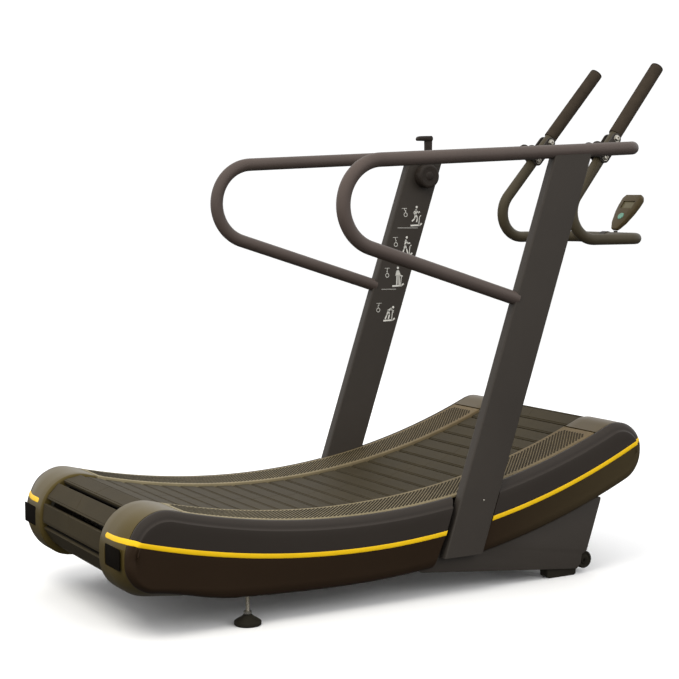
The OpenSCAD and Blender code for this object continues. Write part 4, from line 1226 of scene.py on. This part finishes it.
# ---------------------------------------------------------------- pictograms on the left upright
def strokes_to_mesh(name, strokes, dots, at_z, dx):
    """Flat printed marks on the inner face of the left upright. A stroke is (width, points)."""
    y = UPRIGHT_MID_Y - UPRIGHT_T / 2 - 0.15
    verts, faces = [], []

    def put(u, v):
        verts.append((upright_rear(at_z) + dx + u, y, at_z + v))
        return len(verts) - 1

    def circle(c, r):
        turns = [2 * math.pi * k / 20 for k in range(20)]
        return [put(c[0] + r * math.cos(a), c[1] + r * math.sin(a)) for a in turns]

    for width, points in strokes:
        for a, b in zip(points, points[1:]):
            a, b = Vector(a), Vector(b)
            d = (b - a).normalized() * width / 2
            n = Vector((-d.y, d.x))
            quad = [a - d * 0.5 + n, b + d * 0.5 + n, b + d * 0.5 - n, a - d * 0.5 - n]
            faces.append(tuple(put(*q) for q in quad))
    for c, r, hollow in dots:
        outer = circle(c, r)
        if not hollow:
            faces.append(tuple(outer))
            continue
        inner = circle(c, r - hollow)
        faces += [(outer[k], outer[(k + 1) % 20], inner[(k + 1) % 20], inner[k]) for k in range(20)]
    mesh = bpy.data.meshes.new(name)
    mesh.from_pydata([tuple(c * MM for c in v) for v in verts], [], faces)
    mesh.materials.append(PRINT)
    obj = bpy.data.objects.new(name, mesh)
    scene.collection.objects.link(obj)
    mod = obj.modifiers.new("ink", "SOLIDIFY")
    mod.thickness = 0.12 * MM
    mod.offset = 0
    return bake(obj)


machine = [(5, [(-20, -30), (14, -29), (21, -24)]), (2.5, [(10, -29), (13, -2), (18, 2)])]
figures = {
    "run": ([(6, [(0, 20), (-2, 6)]), (4, [(-1, 18), (-9, 12), (-5, 6)]), (4, [(0, 18), (8, 11), (13, 14)]),
             (4.5, [(-2, 6), (5, -6), (2, -18)]), (4.5, [(-2, 6), (-6, -8), (-15, -16)])], ((2, 29), 4)),
    "push": ([(6, [(-2, 18), (-6, 4)]), (4, [(-2, 16), (5, 8), (13, 9)]), (4.5, [(-6, 4), (0, -9), (5, -24)]),
              (4.5, [(-6, 4), (-9, -10), (-15, -24)])], ((1, 27), 4)),
    "stand": ([(9, [(0, 18), (0, 4)]), (4, [(-4, 17), (-7, 4)]), (4, [(4, 16), (9, 3), (15, 2)]),
               (4.5, [(-3, 4), (-4, -25)]), (4.5, [(4, 4), (5, -25)])], ((0, 28), 4)),
    "sled": ([(6, [(9, 8), (-3, 2)]), (4, [(7, 7), (13, 2), (16, -4)]), (4.5, [(-3, 2), (2, -10), (-2, -24)]),
              (4.5, [(-3, 2), (-8, -12), (-14, -24)])], ((16, 12), 4)),
}
# Each mark's figure, height, distance from the upright's rear edge, and the turn of its dial.
places = (("run", 1035, 84, 30), ("push", 940, 79, 12), ("stand", 842, 79, 0), ("sled", 732, 82, -20))
for mark, z, dx, dial_turn in places:
    strokes, (head, head_r) = figures[mark]
    piece = strokes_to_mesh("print_" + mark, strokes + machine, [(head, head_r, 0)], z, dx)
    settle(piece, "frame", "powder_coat")
    t = rad(dial_turn)
    hand_x, hand_z = -10 * math.sin(t), 22 * math.cos(t)
    hands = [(1.6, [(0, 8), (hand_x, hand_z)]), (1.2, [(hand_x - 9, hand_z + 1), (hand_x + 9, hand_z + 1)])]
    rings = [((0, 0), 7, 1.6), ((0, 12), 2.2, 0)]
    settle(strokes_to_mesh("print_dial_" + mark, hands, rings, z + 5, dx - 42), "frame", "powder_coat")
for z, lo, hi in ((998, 26.5, 102.5), (803, 30, 84)):
    line = strokes_to_mesh("print_line_%d" % z, [(1.2, [(lo, 0), (hi, -1)])], [], z, 0)
    settle(line, "frame", "powder_coat")

# ---------------------------------------------------------------- floor, light and camera
FLOOR_R = 600  # metres, so that its edge is out of sight
floor_mat = surface("floor_paint", (0.97, 0.97, 0.97, 1), 0.8, (0.003, 1.5), (200, 0.02), 0.2)
bm = bmesh.new()
bmesh.ops.create_circle(bm, cap_ends=True, radius=FLOOR_R, segments=128)
mesh = bpy.data.meshes.new("floor")
bm.to_mesh(mesh)
bm.free()
mesh.materials.append(floor_mat)
floor = bpy.data.objects.new("floor", mesh)
scene.collection.objects.link(floor)
# The floor shows and takes shadow, but throws no light back up, as in a studio cut-out.
floor.visible_diffuse = False
floor.visible_glossy = False

world = bpy.data.worlds.new("studio")
world.use_nodes = True
tree = world.node_tree
coords, split, ramp = (tree.nodes.new("ShaderNode" + k) for k in ("TexCoord", "SeparateXYZ", "MapRange"))
feed(tree, split, {"Vector": coords.outputs["Generated"]})
feed(tree, ramp, {"Value": split.outputs["Z"], "From Min": -0.08, "From Max": -0.005, "To Min": 0.1,
                  "To Max": 1.05})
feed(tree, tree.nodes["Background"], {"Color": (1, 1, 1, 1), "Strength": ramp.outputs["Result"]})
scene.world = world


def area_light(name, at, target, size, power, colour=(1, 1, 1)):
    light = bpy.data.lights.new(name, "AREA")
    light.shape = "DISK"
    light.size = size
    light.energy = power
    light.color = colour
    obj = bpy.data.objects.new(name, light)
    obj.location = at
    obj.rotation_euler = (Vector(target) - Vector(at)).to_track_quat("-Z", "Y").to_euler()
    obj.visible_glossy = False
    scene.collection.objects.link(obj)


area_light("key", (-2.6, -1.2, 3.6), (0, 0, 0.4), 2.4, 90, (1, 0.97, 0.9))
area_light("fill", (1.2, -4.0, 2.4), (0.2, 0, 0.7), 2.0, 35)
area_light("rim", (2.0, 3.5, 3.0), (0, 0, 0.6), 2.2, 50)

camera = bpy.data.cameras.new("camera")
camera.lens = 81.86
camera.sensor_width = 36
camera.clip_end = 3000
camera_obj = bpy.data.objects.new("camera", camera)
camera_obj.location = (-2.3673, -3.8281, 1.0989)
camera_obj.rotation_euler = Vector((0.5010, 0.8605, -0.0924)).to_track_quat("-Z", "Y").to_euler()
scene.collection.objects.link(camera_obj)
scene.camera = camera_obj
scene.view_settings.view_transform = "Standard"
